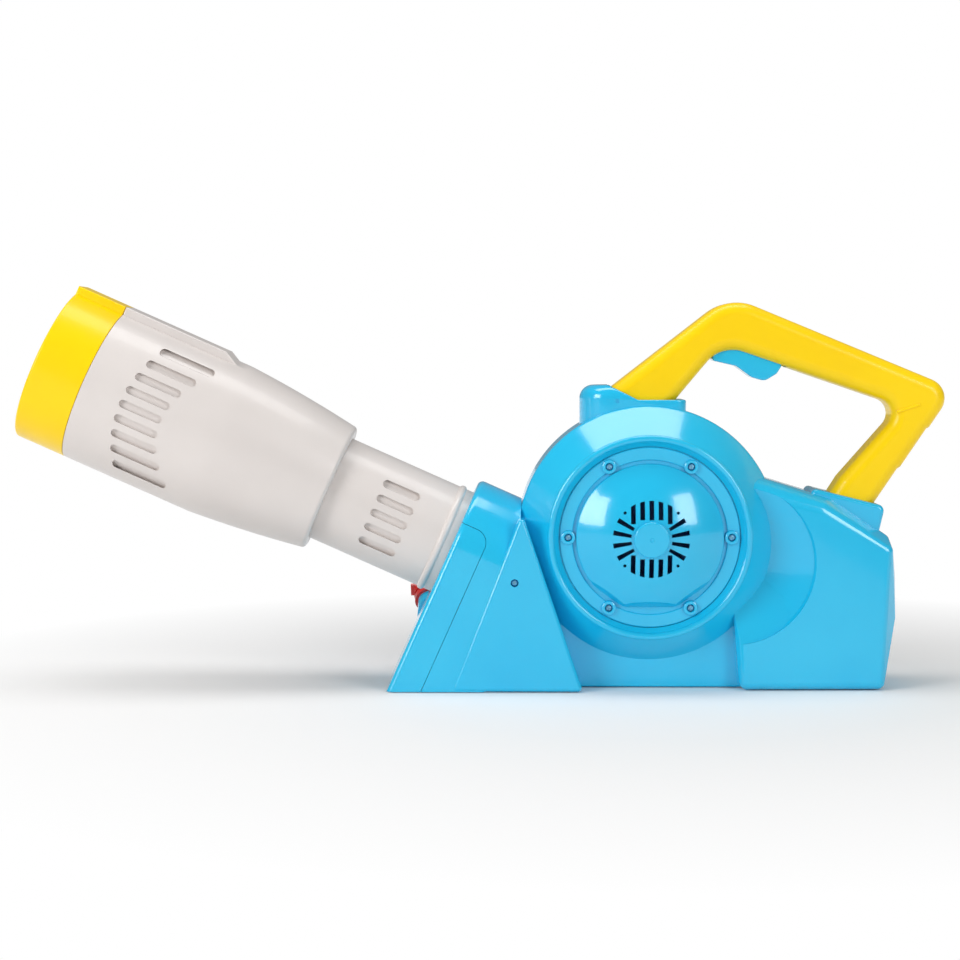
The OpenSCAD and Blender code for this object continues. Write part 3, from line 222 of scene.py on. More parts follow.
def lathe(name, profile, place, steps):
    """Spins a closed outline of radius and height around the local upright axis."""
    obj = draw(name, [(r, 0.0, z) for r, z in profile])
    bpy.ops.mesh.spin(steps=steps, angle=2 * math.pi, center=(0, 0, 0), axis=(0, 0, 1))
    bpy.ops.mesh.select_all(action="SELECT")
    bpy.ops.mesh.remove_doubles(threshold=0.005)
    bpy.ops.mesh.delete_loose(use_verts=True, use_edges=True, use_faces=False)
    bpy.ops.mesh.select_all(action="SELECT")
    bpy.ops.mesh.normals_make_consistent(inside=False)
    return settle(obj, place)


def slab(name, outline, low, high, place, edge=0.0, steps=3, both=True):
    """Extrudes an outline between two heights and rounds the rims of its faces."""
    obj = draw(name, [(x, y, low) for x, y in outline])
    bpy.ops.mesh.edge_face_add()
    bpy.ops.mesh.extrude_region_move(TRANSFORM_OT_translate={"value": (0, 0, high - low)})
    bpy.ops.mesh.select_all(action="SELECT")
    bpy.ops.mesh.normals_make_consistent(inside=False)
    if edge > 0:
        round_rims(obj, [high] + ([low] if both else []), edge, steps)
    return settle(obj, place)


def round_rims(obj, heights, edge, steps):
    """Bevels the edges that lie at the given local heights, in edit mode."""
    bpy.ops.mesh.select_mode(type="EDGE")
    bpy.ops.mesh.select_all(action="DESELECT")
    bpy.ops.object.mode_set(mode="OBJECT")
    verts = obj.data.vertices
    for e in obj.data.edges:
        a, b = (verts[i].co.z for i in e.vertices)
        e.select = any(abs(a - h) < 1e-3 and abs(b - h) < 1e-3 for h in heights)
    bpy.ops.object.mode_set(mode="EDIT")
    bpy.ops.mesh.bevel(offset=edge, offset_type="OFFSET", segments=steps, profile=0.5, clamp_overlap=False)
    bpy.ops.mesh.select_mode(type="VERT")


def apply_all(obj):
    pick(obj)
    for mod in list(obj.modifiers):
        bpy.ops.object.modifier_apply(modifier=mod.name)


def cut(obj, tool, how="DIFFERENCE"):
    mod = obj.modifiers.new("cut", "BOOLEAN")
    mod.operation = how
    mod.solver = "MANIFOLD"
    mod.object = tool
    apply_all(obj)
    bpy.data.objects.remove(tool)
    return obj


def soften(obj, width, steps, angle=40.0):
    """Rounds every edge sharper than the angle."""
    mod = obj.modifiers.new("soft edges", "BEVEL")
    mod.width = width * MM
    mod.segments = steps
    mod.limit_method = "ANGLE"
    mod.angle_limit = math.radians(angle)
    mod.use_clamp_overlap = False
    mod.miter_outer = "MITER_ARC"
    apply_all(obj)
    return obj


def merge(name, pieces):
    clear_selection()
    for p in pieces:
        p.select_set(True)
    bpy.context.view_layer.objects.active = pieces[0]
    if len(pieces) > 1:
        bpy.ops.object.join()
    pieces[0].name = name
    pieces[0].data.name = name
    return pieces[0]


def copy_of(obj, name):
    twin = obj.copy()
    twin.data = obj.data.copy()
    twin.name = name
    twin.data.name = name
    bpy.context.collection.objects.link(twin)
    return twin


def keep_side(obj, side):
    """Cuts away the far side of the parting plane and leaves the fine gap of the joint."""
    low, high = (-SEAM, 120.0) if side < 0 else (-120.0, SEAM)
    far = slab("far side", [(-500, -200), (300, -200), (300, 300), (-500, 300)], low, high, UPRIGHT)
    return cut(obj, far)


def skin(name, balls, place):
    """Block with round edges: a skin drawn tightly over balls of x, y, z and radius."""
    clear_selection()
    bpy.ops.mesh.primitive_uv_sphere_add(segments=32, ring_count=16, radius=balls[0][3])
    obj = bpy.context.object
    obj.name = name
    obj.data.name = name
    bpy.ops.object.mode_set(mode="EDIT")
    bpy.ops.mesh.select_all(action="SELECT")
    bpy.ops.transform.translate(value=balls[0][:3])
    for x, y, z, r in balls[1:]:
        bpy.ops.mesh.primitive_uv_sphere_add(segments=32, ring_count=16, radius=r, location=(x, y, z))
    bpy.ops.mesh.select_all(action="SELECT")
    bpy.ops.mesh.convex_hull()
    bpy.ops.mesh.select_all(action="SELECT")
    bpy.ops.mesh.normals_make_consistent(inside=False)
    return settle(obj, place)


def trim(obj, point, normal):
    """Cuts away what lies beyond a plane and closes the cut; the normal points to the part removed."""
    pick(obj)
    bpy.ops.object.mode_set(mode="EDIT")
    bpy.ops.mesh.select_all(action="SELECT")
    bpy.ops.mesh.bisect(plane_co=point, plane_no=normal, use_fill=True, clear_outer=True)
    bpy.ops.mesh.select_all(action="SELECT")
    bpy.ops.mesh.normals_make_consistent(inside=False)
    bpy.ops.object.mode_set(mode="OBJECT")
    return face_outward(obj)


def smooth(obj, angle):
    pick(obj)
    bpy.ops.object.shade_smooth_by_angle(angle=math.radians(angle))
    mod = obj.modifiers.new("weights", "WEIGHTED_NORMAL")
    mod.keep_sharp = True
    apply_all(obj)
    return obj


def hand_over(obj, body, nodes, finish, angle=32.0):
    """Gives a piece its finish, its body and the solids that it stands for."""
    smooth(obj, angle)
    obj.data.materials.clear()
    obj.data.materials.append(finish)
    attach(obj, body)
    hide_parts(*nodes)
    return obj


def fillet(corners, steps=8):
    """Outline whose corners of x, y and radius are rounded; a zero radius stays sharp."""
    points = []
    count = len(corners)
    for i, (x, y, r) in enumerate(corners):
        c = Vector((x, y))
        if r <= 0:
            points.append((x, y))
            continue
        u = (Vector(corners[i - 1][:2]) - c).normalized()
        v = (Vector(corners[(i + 1) % count][:2]) - c).normalized()
        half = u.angle(v) / 2
        mid = c + (u + v).normalized() * (r / math.sin(half))
        p, q = c + u * (r / math.tan(half)) - mid, c + v * (r / math.tan(half)) - mid
        start = math.atan2(p.y, p.x)
        turn = (math.atan2(q.y, q.x) - start + math.pi) % (2 * math.pi) - math.pi
        for k in range(steps + 1):
            a = start + turn * k / steps
            points.append((mid.x + r * math.cos(a), mid.y + r * math.sin(a)))
    return points


def arc(cx, cy, r, a0, a1, steps):
    turns = [math.radians(a0 + (a1 - a0) * k / steps) for k in range(steps + 1)]
    return [(cx + r * math.cos(a), cy + r * math.sin(a)) for a in turns]


# Finishes

def srgb(r, g, b):
    def lin(c):
        c /= 255.0
        return c / 12.92 if c <= 0.04045 else ((c + 0.055) / 1.055) ** 2.4
    return (lin(r), lin(g), lin(b), 1.0)


def plastic(name, colour, shade, roughness, coat, grain, grain_size, glow=0.0, bend=1.52):
    """Moulded plastic: faint flow clouds in the colour, uneven gloss and a fine moulded grain."""
    mat = bpy.data.materials.new(name)
    mat.use_nodes = True
    nodes, links = mat.node_tree.nodes, mat.node_tree.links
    shader = nodes["Principled BSDF"]
    shader.inputs["Coat Weight"].default_value = coat
    shader.inputs["Coat Roughness"].default_value = 0.04
    shader.inputs["IOR"].default_value = bend
    shader.inputs["Subsurface Weight"].default_value = glow
    shader.inputs["Subsurface Radius"].default_value = (0.004, 0.004, 0.004)
    where = nodes.new("ShaderNodeTexCoord")
    cloud = nodes.new("ShaderNodeTexNoise")
    cloud.inputs["Scale"].default_value = 18.0
    cloud.inputs["Detail"].default_value = 4.0
    tint = nodes.new("ShaderNodeValToRGB")
    tint.color_ramp.elements[0].position = 0.32
    tint.color_ramp.elements[0].color = shade
    tint.color_ramp.elements[1].position = 0.68
    tint.color_ramp.elements[1].color = colour
    gloss = nodes.new("ShaderNodeTexNoise")
    gloss.inputs["Scale"].default_value = 140.0
    gloss.inputs["Detail"].default_value = 5.0
    spread = nodes.new("ShaderNodeMapRange")
    spread.inputs["To Min"].default_value = roughness * 0.82
    spread.inputs["To Max"].default_value = roughness * 1.22
    pores = nodes.new("ShaderNodeTexNoise")
    pores.inputs["Scale"].default_value = grain_size
    pores.inputs["Detail"].default_value = 3.0
    bump = nodes.new("ShaderNodeBump")
    bump.inputs["Strength"].default_value = grain
    bump.inputs["Distance"].default_value = 0.0002
    for tex in (cloud, gloss, pores):
        links.new(where.outputs["Object"], tex.inputs["Vector"])
    links.new(cloud.outputs["Fac"], tint.inputs["Fac"])
    links.new(tint.outputs["Color"], shader.inputs["Base Color"])
    links.new(gloss.outputs["Fac"], spread.inputs["Value"])
    links.new(spread.outputs["Result"], shader.inputs["Roughness"])
    links.new(pores.outputs["Fac"], bump.inputs["Height"])
    links.new(bump.outputs["Normal"], shader.inputs["Normal"])
    return mat


def metal(name, colour, roughness, streak):
    """Plated or machined metal with fine drawn streaks."""
    mat = bpy.data.materials.new(name)
    mat.use_nodes = True
    nodes, links = mat.node_tree.nodes, mat.node_tree.links
    shader = nodes["Principled BSDF"]
    shader.inputs["Base Color"].default_value = colour
    shader.inputs["Metallic"].default_value = 1.0
    where = nodes.new("ShaderNodeTexCoord")
    lay = nodes.new("ShaderNodeMapping")
    lay.inputs["Scale"].default_value = (1.0, streak, 1.0)
    noise = nodes.new("ShaderNodeTexNoise")
    noise.inputs["Scale"].default_value = 900.0
    spread = nodes.new("ShaderNodeMapRange")
    spread.inputs["To Min"].default_value = roughness * 0.7
    spread.inputs["To Max"].default_value = roughness * 1.3
    bump = nodes.new("ShaderNodeBump")
    bump.inputs["Strength"].default_value = 0.08
    bump.inputs["Distance"].default_value = 0.0001
    links.new(where.outputs["Object"], lay.inputs["Vector"])
    links.new(lay.outputs["Vector"], noise.inputs["Vector"])
    links.new(noise.outputs["Fac"], spread.inputs["Value"])
    links.new(spread.outputs["Result"], shader.inputs["Roughness"])
    links.new(noise.outputs["Fac"], bump.inputs["Height"])
    links.new(bump.outputs["Normal"], shader.inputs["Normal"])
    return mat


BLUE = plastic("blue_moulded", srgb(28, 190, 232), srgb(18, 184, 229), 0.17, 0.5, 0.04, 2600.0, 0.06)
YELLOW = plastic("yellow_moulded", srgb(254, 214, 0), srgb(251, 207, 0), 0.3, 0.06, 0.06, 2400.0, 0.05,
                 1.38)
CREAM = plastic("cream_moulded", srgb(219, 212, 208), srgb(213, 206, 202), 0.34, 0.15, 0.08, 2200.0)
RED = plastic("red_moulded", srgb(222, 38, 30), srgb(212, 32, 26), 0.28, 0.3, 0.05, 2400.0)
DARK = plastic("dark_moulded", srgb(40, 43, 48), srgb(34, 37, 42), 0.5, 0.0, 0.15, 1800.0)
# Part seen through the grille: its blue paints in the dim, blue-tinted light inside the housing, painted
# shade lifted by painted light
NAVY_PAINTED_LIGHT = plastic("navy_with_painted_interior_light", srgb(84, 160, 236), srgb(76, 150, 226), 0.4, 0.05, 0.1, 2000.0)
SEAL = plastic("seal_rubber", srgb(30, 30, 32), srgb(24, 24, 26), 0.7, 0.0, 0.2, 1500.0)
SLEEVE = plastic("cell_sleeve", srgb(78, 84, 94), srgb(70, 76, 86), 0.32, 0.2, 0.05, 2000.0)
STEEL = metal("plated_steel", srgb(182, 187, 194), 0.35, 6.0)
# Screw steel tinted blue: a painted reflection of the blue housing around the screws
BLUE_REFLECTION_STEEL = metal("steel_with_painted_blue_reflection", srgb(142, 200, 226), 0.45, 6.0)
BRASS = metal("machined_brass", srgb(214, 178, 96), 0.25, 6.0)


# Barrel

def slots(spots, radius):
    """Round-ended bars that sink shallow slots straight into both sides of a tube."""
    r = SLOT_W / 2
    across = ON_BARREL @ Matrix(((0, 1, 0, 0), (0, 0, 1, 0), (1, 0, 0, 0), (0, 0, 0, 1)))
    bars = []
    for n, s0, s1 in spots:
        outline = arc(s1 - r, n, r, -90, 90, 8) + arc(s0 + r, n, r, 90, 270, 8)
        for low, high in ((-radius - 4, -8), (8, radius + 4)):
            bars.append(slab("slot", outline, low, high, across))
    bars = merge("slots", bars)
    floor = radius - SLOT_DEEP
    core = [(0, 90), (floor, 90), (floor, 320), (0, 320)]
    return cut(bars, lathe("slot floor", core, ON_BARREL, 160))


def rail(s0, s1, slope):
    """Flat rail on top of the barrel, with a sloping tail where asked."""
    low = FRONT_R - 4
    side = [(low, s0), (RAIL_H, s0 + slope), (RAIL_H, s1), (low, s1)]
    return slab("rail", side, -RAIL_W, RAIL_W, ON_BARREL @ SIDEWAYS, 0.9, 3)


def muzzle_ring():
    inner = FRONT_R - 3.6
    seat = FRONT_R - TUBE_WALL + TUBE_FIT
    back = RING_S + RING_GAP
    profile = [(seat, back), (FRONT_R - TUBE_EDGE, back), (FRONT_R, back + TUBE_EDGE)]
    profile += arc(FRONT_R - 1.3, RING_END - 1.3, 1.3, 0, 90, 6)
    profile += arc(inner + 1.0, RING_END - 1.0, 1.0, 90, 180, 6)
    profile += [(inner, RING_S + RING_TONGUE), (seat, RING_S + RING_TONGUE)]
    ring = lathe("muzzle", profile, ON_BARREL, 160)
    cut(ring, rail(back, RING_END - 0.2, 0.0), "UNION")
    r, low, high = FRONT_R - 3.0, RING_S - 2, RING_END - 3
    cut(ring, lathe("bore", [(0, low), (r, low), (r, high), (0, high)], ON_BARREL, 96))
    return hand_over(ring, "frame", ["muzzle_ring"], YELLOW)


def front_tube():
    def outer(f):
        return TAPER_R + (FRONT_R - TAPER_R) * (1.42 * f - 0.42 * f * f)
    shoulder, steps = 2.4, 14
    start, end, face = STEP_S + shoulder, TAPER_S + 4, RING_S - RING_GAP
    rise = [(outer(k / steps), start + (end - start) * k / steps) for k in range(steps + 1)]
    profile = [(REAR_R + TUBE_FIT, STEP_S)] + arc(TAPER_R - shoulder, start, shoulder, -90, 0, 6) + rise[1:]
    profile += [(FRONT_R, face - TUBE_EDGE), (FRONT_R - TUBE_EDGE, face), (FRONT_R - TUBE_WALL, face),
                (FRONT_R - TUBE_WALL, RING_S + 6), (FRONT_R - 2 * TUBE_WALL, RING_S + 6),
                (FRONT_R - 2 * TUBE_WALL, RING_S - 4), (FRONT_R - BORE_WALL, RING_S - 7)]
    profile += [(r - BORE_WALL, s) for r, s in reversed(rise[4:])]
    profile += [(REAR_R + TUBE_FIT, STEP_S + 14)]
    tube = lathe("barrel_front", profile, ON_BARREL, 160)
    pad = rail(RING_S - 68, face, 12.0)
    r = FRONT_R - 0.8
    cut(pad, lathe("core", [(0, 150), (r, 150), (r, 330), (0, 330)], ON_BARREL, 96))
    cut(tube, pad, "UNION")
    spots = [(7.7 * i, RING_S - 43.8 - 13.2 * (i / 4) ** 2, RING_S - 20.6 - 6.6 * (i / 4) ** 2)
             for i in range(-4, 5)]
    cut(tube, slots(spots, FRONT_R))
    return hand_over(tube, "frame", ["front_tube"], CREAM)


def rear_tube():
    end = NECK_S - NECK_FRONT - TUBE_FIT
    bead = NECK_S + 7.2
    flange = NECK_R - WALL - 0.8
    profile = [(REAR_R - BORE_WALL, end - 2), (flange, end - 2), (flange, end), (REAR_R, end),
               (REAR_R, bead - 1.9)]
    profile += [(REAR_R + 1.2 * math.cos(math.radians(a)), bead + 1.7 * math.sin(math.radians(a)))
                for a in range(-75, 76, 25)]
    profile += [(REAR_R, bead + 1.9), (REAR_R, STEP_S + 16), (REAR_R - BORE_WALL, STEP_S + 16)]
    tube = lathe("barrel_rear", profile, ON_BARREL, 128)
    spots = [(7.8 * i, NECK_S + 25.7, NECK_S + 45.9) for i in range(-2, 3)]
    cut(tube, slots(spots, REAR_R))
    return hand_over(tube, "frame", ["rear_tube"], CREAM)


muzzle_ring()
front_tube()
rear_tube()


# Housing

def both_sides(spots):
    return [(x, y * side, z, r) for x, z, y, r in spots for side in (-1, 1)]


def drum_curve(inset, steps):
    """Side of the drum from its straight band over a round shoulder to the slope of the face."""
    rim, top = DRUM_R - inset, CREST_W - CREST_ROUND - inset
    return fillet([(rim, 0, 0), (rim, BAND_W, 4.0), (CREST_R + CREST_ROUND, top, 0)], steps)[1:-1]


def drum_solid():
    side = drum_curve(0.0, 8) + arc(CREST_R, CREST_W - CREST_ROUND, CREST_ROUND, 0, 180, 12)
    side += [(COVER_R + 0.3, FLANGE_W - 0.4), (COVER_R + 0.3, SEAT_W), (0.0, SEAT_W)]
    return lathe("drum", side + [(r, -w) for r, w in reversed(side)], ON_FAN_LEFT, 144)


def drum_hollow():
    low = SEAT_W - WALL
    side = [(r, min(w, low)) for r, w in drum_curve(WALL, 6)]
    side += [(CREST_R + 1.6, low), (SEAT_IN_R, low), (SEAT_IN_R, 60.0), (0.0, 60.0)]
    return lathe("drum_hollow", side + [(r, -w) for r, w in reversed(side)], ON_FAN_LEFT, 96)


def tunnel(name, r, s0, s1, rim):
    """Neck that is round above its axis and runs straight down to the ground."""
    outline = [(-140.0, -r)] + arc(0, 0, r, -90, 90, 56) + [(-140.0, r)]
    obj = slab(name, outline, s0, s1, ON_BARREL, rim, 5, both=False)
    return trim(obj, (0, 0, 0), (0, 0, -1))


def neck_side(name, back):
    """Side view of the neck: its rear edge stands upright beside the drum, then follows the chin down."""
    edge = [(-63.5, 60), (-63.5, 32), (-64.4, 20.6), (-65.8, 5.0), (-55.8, -25.0), (-36.6, -76.0),
            (-36.6, -90)]
    outline = [(-200, -90), (-200, 60)] + [(x - back, z) for x, z in edge]
    return slab(name, outline, -60, 60, UPRIGHT)


def ear(name, d):
    """Front region of the neck, with a round upper corner, that belongs to the tank."""
    r = 7
    corner = arc(CLIP_N - r, EAR_S + r, r + d, -90, 0, 10)
    outline = [(-160.0, EAR_S - d)] + corner + [(CLIP_N + d, EAR_S + 60), (-160.0, EAR_S + 60)]
    return slab(name, outline, -60, 60, ON_BARREL @ SIDEWAYS)


# Corner balls: place along the toy, height above the ground, half width and radius
CHIN = [(-65.0, 85.5, 34, 2), (-97.5, 2.0, 34, 2), (-36.5, 2.0, 34, 2)]
CHIN_ROOM = [(-66.5, 68.0, 31.4, 2), (-93.0, 4.2, 31.4, 2), (-41.0, 4.2, 31.4, 2)]
TAIL = [(50, 97.7, 14, 12), (94, 92.6, 13, 4), (119.6, 74.4, 13, 4.5), (87, 89.4, 18, 8),
        (120.6, 70.1, 20.5, 4), (122.4, 56, 16.5, 4), (122.8, 36, 17, 4), (116.4, 4, 24.5, 4),
        (50, 4, 26, 4)]
# Section of the valley beside the tail panel: radius around its own axis and half width
VALLEY = [(0.0, 18.6), (18.0, 19.4), (30.0, 21.6), (37.2, 23.9), (40.6, 25.2), (41.5, 26.4),
          (41.5, 60.0), (0.0, 60.0)]
VALLEY_AT = (43.3, -13.3, 0.0)


def tail_form():
    """Tail with a roof, side panels and a valley that curves down between each panel and the drum."""
    tail = skin("tail", both_sides(TAIL), SCALE)
    for place, out in ((ON_FAN_LEFT, -1), (ON_FAN_RIGHT, 1)):
        valley = lathe("valley", VALLEY, place @ Matrix.Translation(VALLEY_AT), 96)
        trim(valley, (0, 27 * MM * out, 28 * MM), (0, -out, -0.28))
        cut(tail, valley)
    return tail


def saddle_form():
    r = SADDLE_W
    plan = arc(-34.8 + r, 0, r, 90, 270, 32)
    plan += arc(14.5, 5 - r, 5, -90, 0, 6) + arc(14.5, r - 5, 5, 0, 90, 6)
    top = FAN_Z + CROWN
    saddle = slab("saddle", plan, top - 16, top + 10.4, SCALE, 7.0, 10, both=False)
    side = fillet([(-40, CROWN - 20, 0), (-40, CROWN + 12, 0), (-20, CROWN + 12, 0),
                   (-20, CROWN + 10.2, 1.5), (-5.4, CROWN + 2.8, 2), (30, CROWN + 2.8, 0),
                   (30, CROWN - 20, 0)])
    cut(saddle, slab("saddle side", side, -40, 40, UPRIGHT), "INTERSECT")
    return soften(saddle, 0.9, 3)


def rear_block():
    side = fillet([(81, 0, 0), (84.0, 24.2, 2.5), (121.6, 14.9, 3.6), (116.8, -6, 0)])
    return slab("rear block", side, -SADDLE_W, SADDLE_W, UPRIGHT, 2.2, 5)


def housing_room():
    """Hollow of the chin, neck, tail and keel around the drum."""
    floor = WALL - FAN_Z
    room = skin("chin room", both_sides(CHIN_ROOM), SCALE)
    hall = tunnel("neck room", NECK_R - WALL, 46.0, CLIP_S + 6, 0.0)
    cut(hall, neck_side("hall side", 2.4), "INTERSECT")
    trim(hall, (0, 0, WALL * MM), (0, 0, -1))
    cut(room, hall, "UNION")
    foot = [(48.6, floor), (48.6, -50), (118, -50), (115, floor)]
    cut(room, slab("battery room", foot, -24.5, 24.5, UPRIGHT), "UNION")
    loft = [(44, -60), (44, 16), (90, 6), (118, -18), (120, -60)]
    cut(room, slab("tail room", loft, -14, 14, UPRIGHT), "UNION")
    keel = [(-58, floor), (-58, -56), (58, -56), (58, floor)]
    cut(room, slab("keel room", keel, -16.8, 16.8, UPRIGHT), "UNION")
    return cut(room, drum_solid())


def housing_body():
    body = drum_solid()
    neck = tunnel("neck", NECK_R, 45.0, LIP_S, NECK_RIM)
    cut(neck, neck_side("neck side", 0.0), "INTERSECT")
    cut(body, neck, "UNION")
    cut(body, skin("chin", both_sides(CHIN), SCALE), "UNION")
    cut(body, tail_form(), "UNION")
    keel = [(-60, -FAN_Z), (-60, 33 - FAN_Z), (60, 33 - FAN_Z), (60, -FAN_Z)]
    cut(body, slab("keel", keel, -19, 19, UPRIGHT, 1.2, 3), "UNION")
    cut(body, saddle_form(), "UNION")
    cut(body, rear_block(), "UNION")
    cut(body, housing_room())
    cut(body, drum_hollow())
    inner, front = NECK_R - WALL - 0.07, NECK_S - NECK_FRONT
    bore = [(0, CLIP_S - 2), (inner, CLIP_S - 2), (inner, front), (REAR_R + TUBE_FIT, front),
            (REAR_R + TUBE_FIT, NECK_S + 4), (0, NECK_S + 4)]
    cut(body, lathe("bore", bore, ON_BARREL, 96))
    cut(body, ear("ear", 0.25))
    cut(body, handle_plate("pocket", -0.2))
    door = [(49.6, -24), (114.4, -24), (114.4, 24), (49.6, 24)]
    narrow = Matrix.Scale(0.93, 4, Vector((0, 1, 0)))
    cut(body, slab("door way", door, -2, 6, SCALE @ narrow))
    return body


# Screw places along the toy and above the fan axis, with the depth of the wells
NOZZLE_SCREW = (barrel_x(53.4, -3.0), barrel_z(53.4, -3.0) - FAN_Z, 0.0)
HOUSING_SCREWS = [(-26, CROWN + 3, 12), (80, 9, 24), (115.4, -30, 17), (-42, 9 - FAN_Z, 33),
                  (0, 6.4 - FAN_Z, 17.5), (36, 6.4 - FAN_Z, 17.5)]
HANDLE_SCREWS = [(9, CROWN + 17, 11), (104, CROWN + 20, 11), (114, 28.5, 11)]


def screw_wells(half, spots, seat, post_r, reach):
    """Posts with deep round wells for the screws that are driven from the right."""
    r = SCREW_WELL_R
    for x, z, deep in spots:
        place = ON_FAN_RIGHT @ Matrix.Translation((x, z, 0))
        cut(half, lathe("well", [(0, 0), (r, 0), (r, reach), (0, reach)], place, 40))
        post = [(PILOT_R, 0.2), (post_r, 0.2), (post_r, deep), (r, deep), (r, seat), (PILOT_R, seat)]
        half = merge(half.name, [half, lathe("post", post, place, 40)])
    return half


def housings():
    body = housing_body()
    left = copy_of(body, "housing_left")
    keep_side(left, -1)
    seat = ON_FAN_LEFT @ Matrix.Translation(NOZZLE_SCREW)
    well = [(0, 32), (1.9, 32), (1.9, 35.6), (2.2, 36.2), (2.2, 60), (0, 60)]
    cut(left, lathe("nozzle screw well", well, seat, 40))
    dimple = ON_FAN_LEFT @ Matrix.Translation((-16, 68.7, 0))
    cut(left, lathe("dimple", [(0, 15.1), (0.9, 15.1), (1.2, 18), (0, 18)], dimple, 24))
    hand_over(left, "frame", ["left_housing"], BLUE)
    right = keep_side(body, 1)
    right.name = right.data.name = "housing_right"
    right = screw_wells(right, HOUSING_SCREWS, HOUSING_SEAT, 3.9, 90)
    hand_over(right, "frame", ["right_housing"], BLUE)


# Fan covers

def dome_height(r, ball):
    return DOME_TOP - ball + math.sqrt(ball * ball - r * r)


# Flats at the foot of the dome: angle from straight down, distance out, height and lean of each
DOME_FLATS = [(-36, 34.4, 3.7, 27), (0, 32.2, 5.1, 29), (36, 34.4, 3.7, 27)]


def cover_dome(ball):
    cap = [(DOME_R * k / 20, dome_height(DOME_R * k / 20, ball)) for k in range(20)]
    cap += arc(DOME_R - 1.2, dome_height(DOME_R - 1.2, ball) - 1.25, 1.2, 56, 0, 5)
    dome = lathe("dome", cap + [(DOME_R, SEAT_W + 0.1), (0, SEAT_W + 0.1)], ON_FAN_LEFT, 128)
    left = Vector((0, -1, 0))
    for angle, r, h, lean in DOME_FLATS:
        a, lean = math.radians(angle), math.radians(lean)
        out = Vector((math.sin(a), 0.0, -math.cos(a)))
        slope = out * math.cos(lean) + left * math.sin(lean)
        trim(dome, (Vector((0, 0, FAN_Z)) + out * r + left * (FLANGE_W + h)) * MM, slope)
    return dome


def fan_cover():
    rise = DOME_H - 1.6
    ball = (DOME_R ** 2 + rise ** 2) / (2 * rise)
    dome = cover_dome(ball)
    lid = [(0, SEAT_W), (COVER_R, SEAT_W), (COVER_R, FLANGE_W - 0.5), (COVER_R - 0.5, FLANGE_W),
           (DOME_R + 2.2, FLANGE_W), (DOME_R + 1.8, FLANGE_W - 0.3), (DOME_R + 1.7, LID_LOW), (0, LID_LOW)]
    cover = lathe("cover_left", lid, ON_FAN_LEFT, 128)
    cut(cover, dome, "UNION")
    boss = [(0, SEAT_W + 0.2), (3.9, SEAT_W + 0.2), (3.7, FLANGE_W + 0.9), (3.5, FLANGE_W + 1.4),
            (3.1, FLANGE_W + 1.6), (0, FLANGE_W + 1.6)]
    for at in COVER_SCREWS:
        cut(cover, lathe("boss", boss, ON_FAN_LEFT @ at, 40), "UNION")
    reach = DOME_R - 8
    hollow = [(0, SEAT_W - 1), (reach, SEAT_W - 1)]
    hollow += [(reach * k / 10, dome_height(reach * k / 10, ball) - WALL - 0.6) for k in range(10, -1, -1)]
    cut(cover, lathe("cover hollow", hollow, ON_FAN_LEFT, 96))
    hub = [(0, DOME_TOP - 1.5), (HUB_R, DOME_TOP - 1.5)] + arc(HUB_R - 1.0, DOME_TOP + 0.6, 1.0, 0, 84, 6)
    hub += [(5, DOME_TOP + 1.64), (1.1, DOME_TOP + 1.7), (0.9, DOME_TOP + 1.45), (0, DOME_TOP + 1.4)]
    cut(cover, lathe("hub", hub, ON_FAN_LEFT, 64), "UNION")
    cut(cover, grille())
    well = [(0, SEAT_W - 2), (1.3, SEAT_W - 2), (1.3, LID_LOW), (1.9, LID_LOW), (1.9, FLANGE_W + 1.1),
            (2.3, FLANGE_W + 1.7), (2.3, FLANGE_W + 4), (0, FLANGE_W + 4)]
    for at in COVER_SCREWS:
        cut(cover, lathe("screw well", well, ON_FAN_LEFT @ at, 40))
    twin = settle(copy_of(cover, "cover_right"), FLIP_Y)
    hand_over(cover, "frame", ["left_fan_cover"], BLUE, 24)
    hand_over(twin, "frame", ["right_fan_cover"], BLUE, 24)


def grille():
    """Bars that cut the upright and the splayed air slots and four pin holes into a cover."""
    def reach(x):
        return math.sqrt(GRILLE_R ** 2 - x * x)
    low, high = SEAT_W, DOME_TOP + 6
    bars = []
    for i in range(-2, 3):
        x = i * GRILLE_STEP
        x0, x1 = x - GRILLE_HALF, x + GRILLE_HALF
        inner = HUB_R + (-1.2 if abs(i) > 1 else 0.8)
        for side in (-1, 1):
            outline = [(x0, side * inner), (x1, side * inner), (x1, side * reach(x1)),
                       (x, side * (reach(x) + 0.05)), (x0, side * reach(x0))]
            bars.append(slab("slot", outline, low, high, ON_FAN_LEFT))
    thin, wide, start = 0.85, 1.25, HUB_R + 1.2
    ray = [(start, -thin), (reach(wide), -wide), (GRILLE_R, 0), (reach(wide), wide), (start, thin)]
    for a in (-30, -10, 10, 30, 150, 170, 190, 210):
        turn = Matrix.Rotation(math.radians(a), 4, "Z")
        bars.append(slab("slot", ray, low, high, ON_FAN_LEFT @ turn))
    pin = [(0, low), (PIN_HOLE_R, low), (PIN_HOLE_R, high), (0, high)]
    for a in (45, 135, 225, 315):
        turn = Matrix.Rotation(math.radians(a), 4, "Z") @ Matrix.Translation((GRILLE_R - 0.6, 0, 0))
        bars.append(lathe("pin hole", pin, ON_FAN_LEFT @ turn, 20))
    return merge("slots", bars)


# Handle

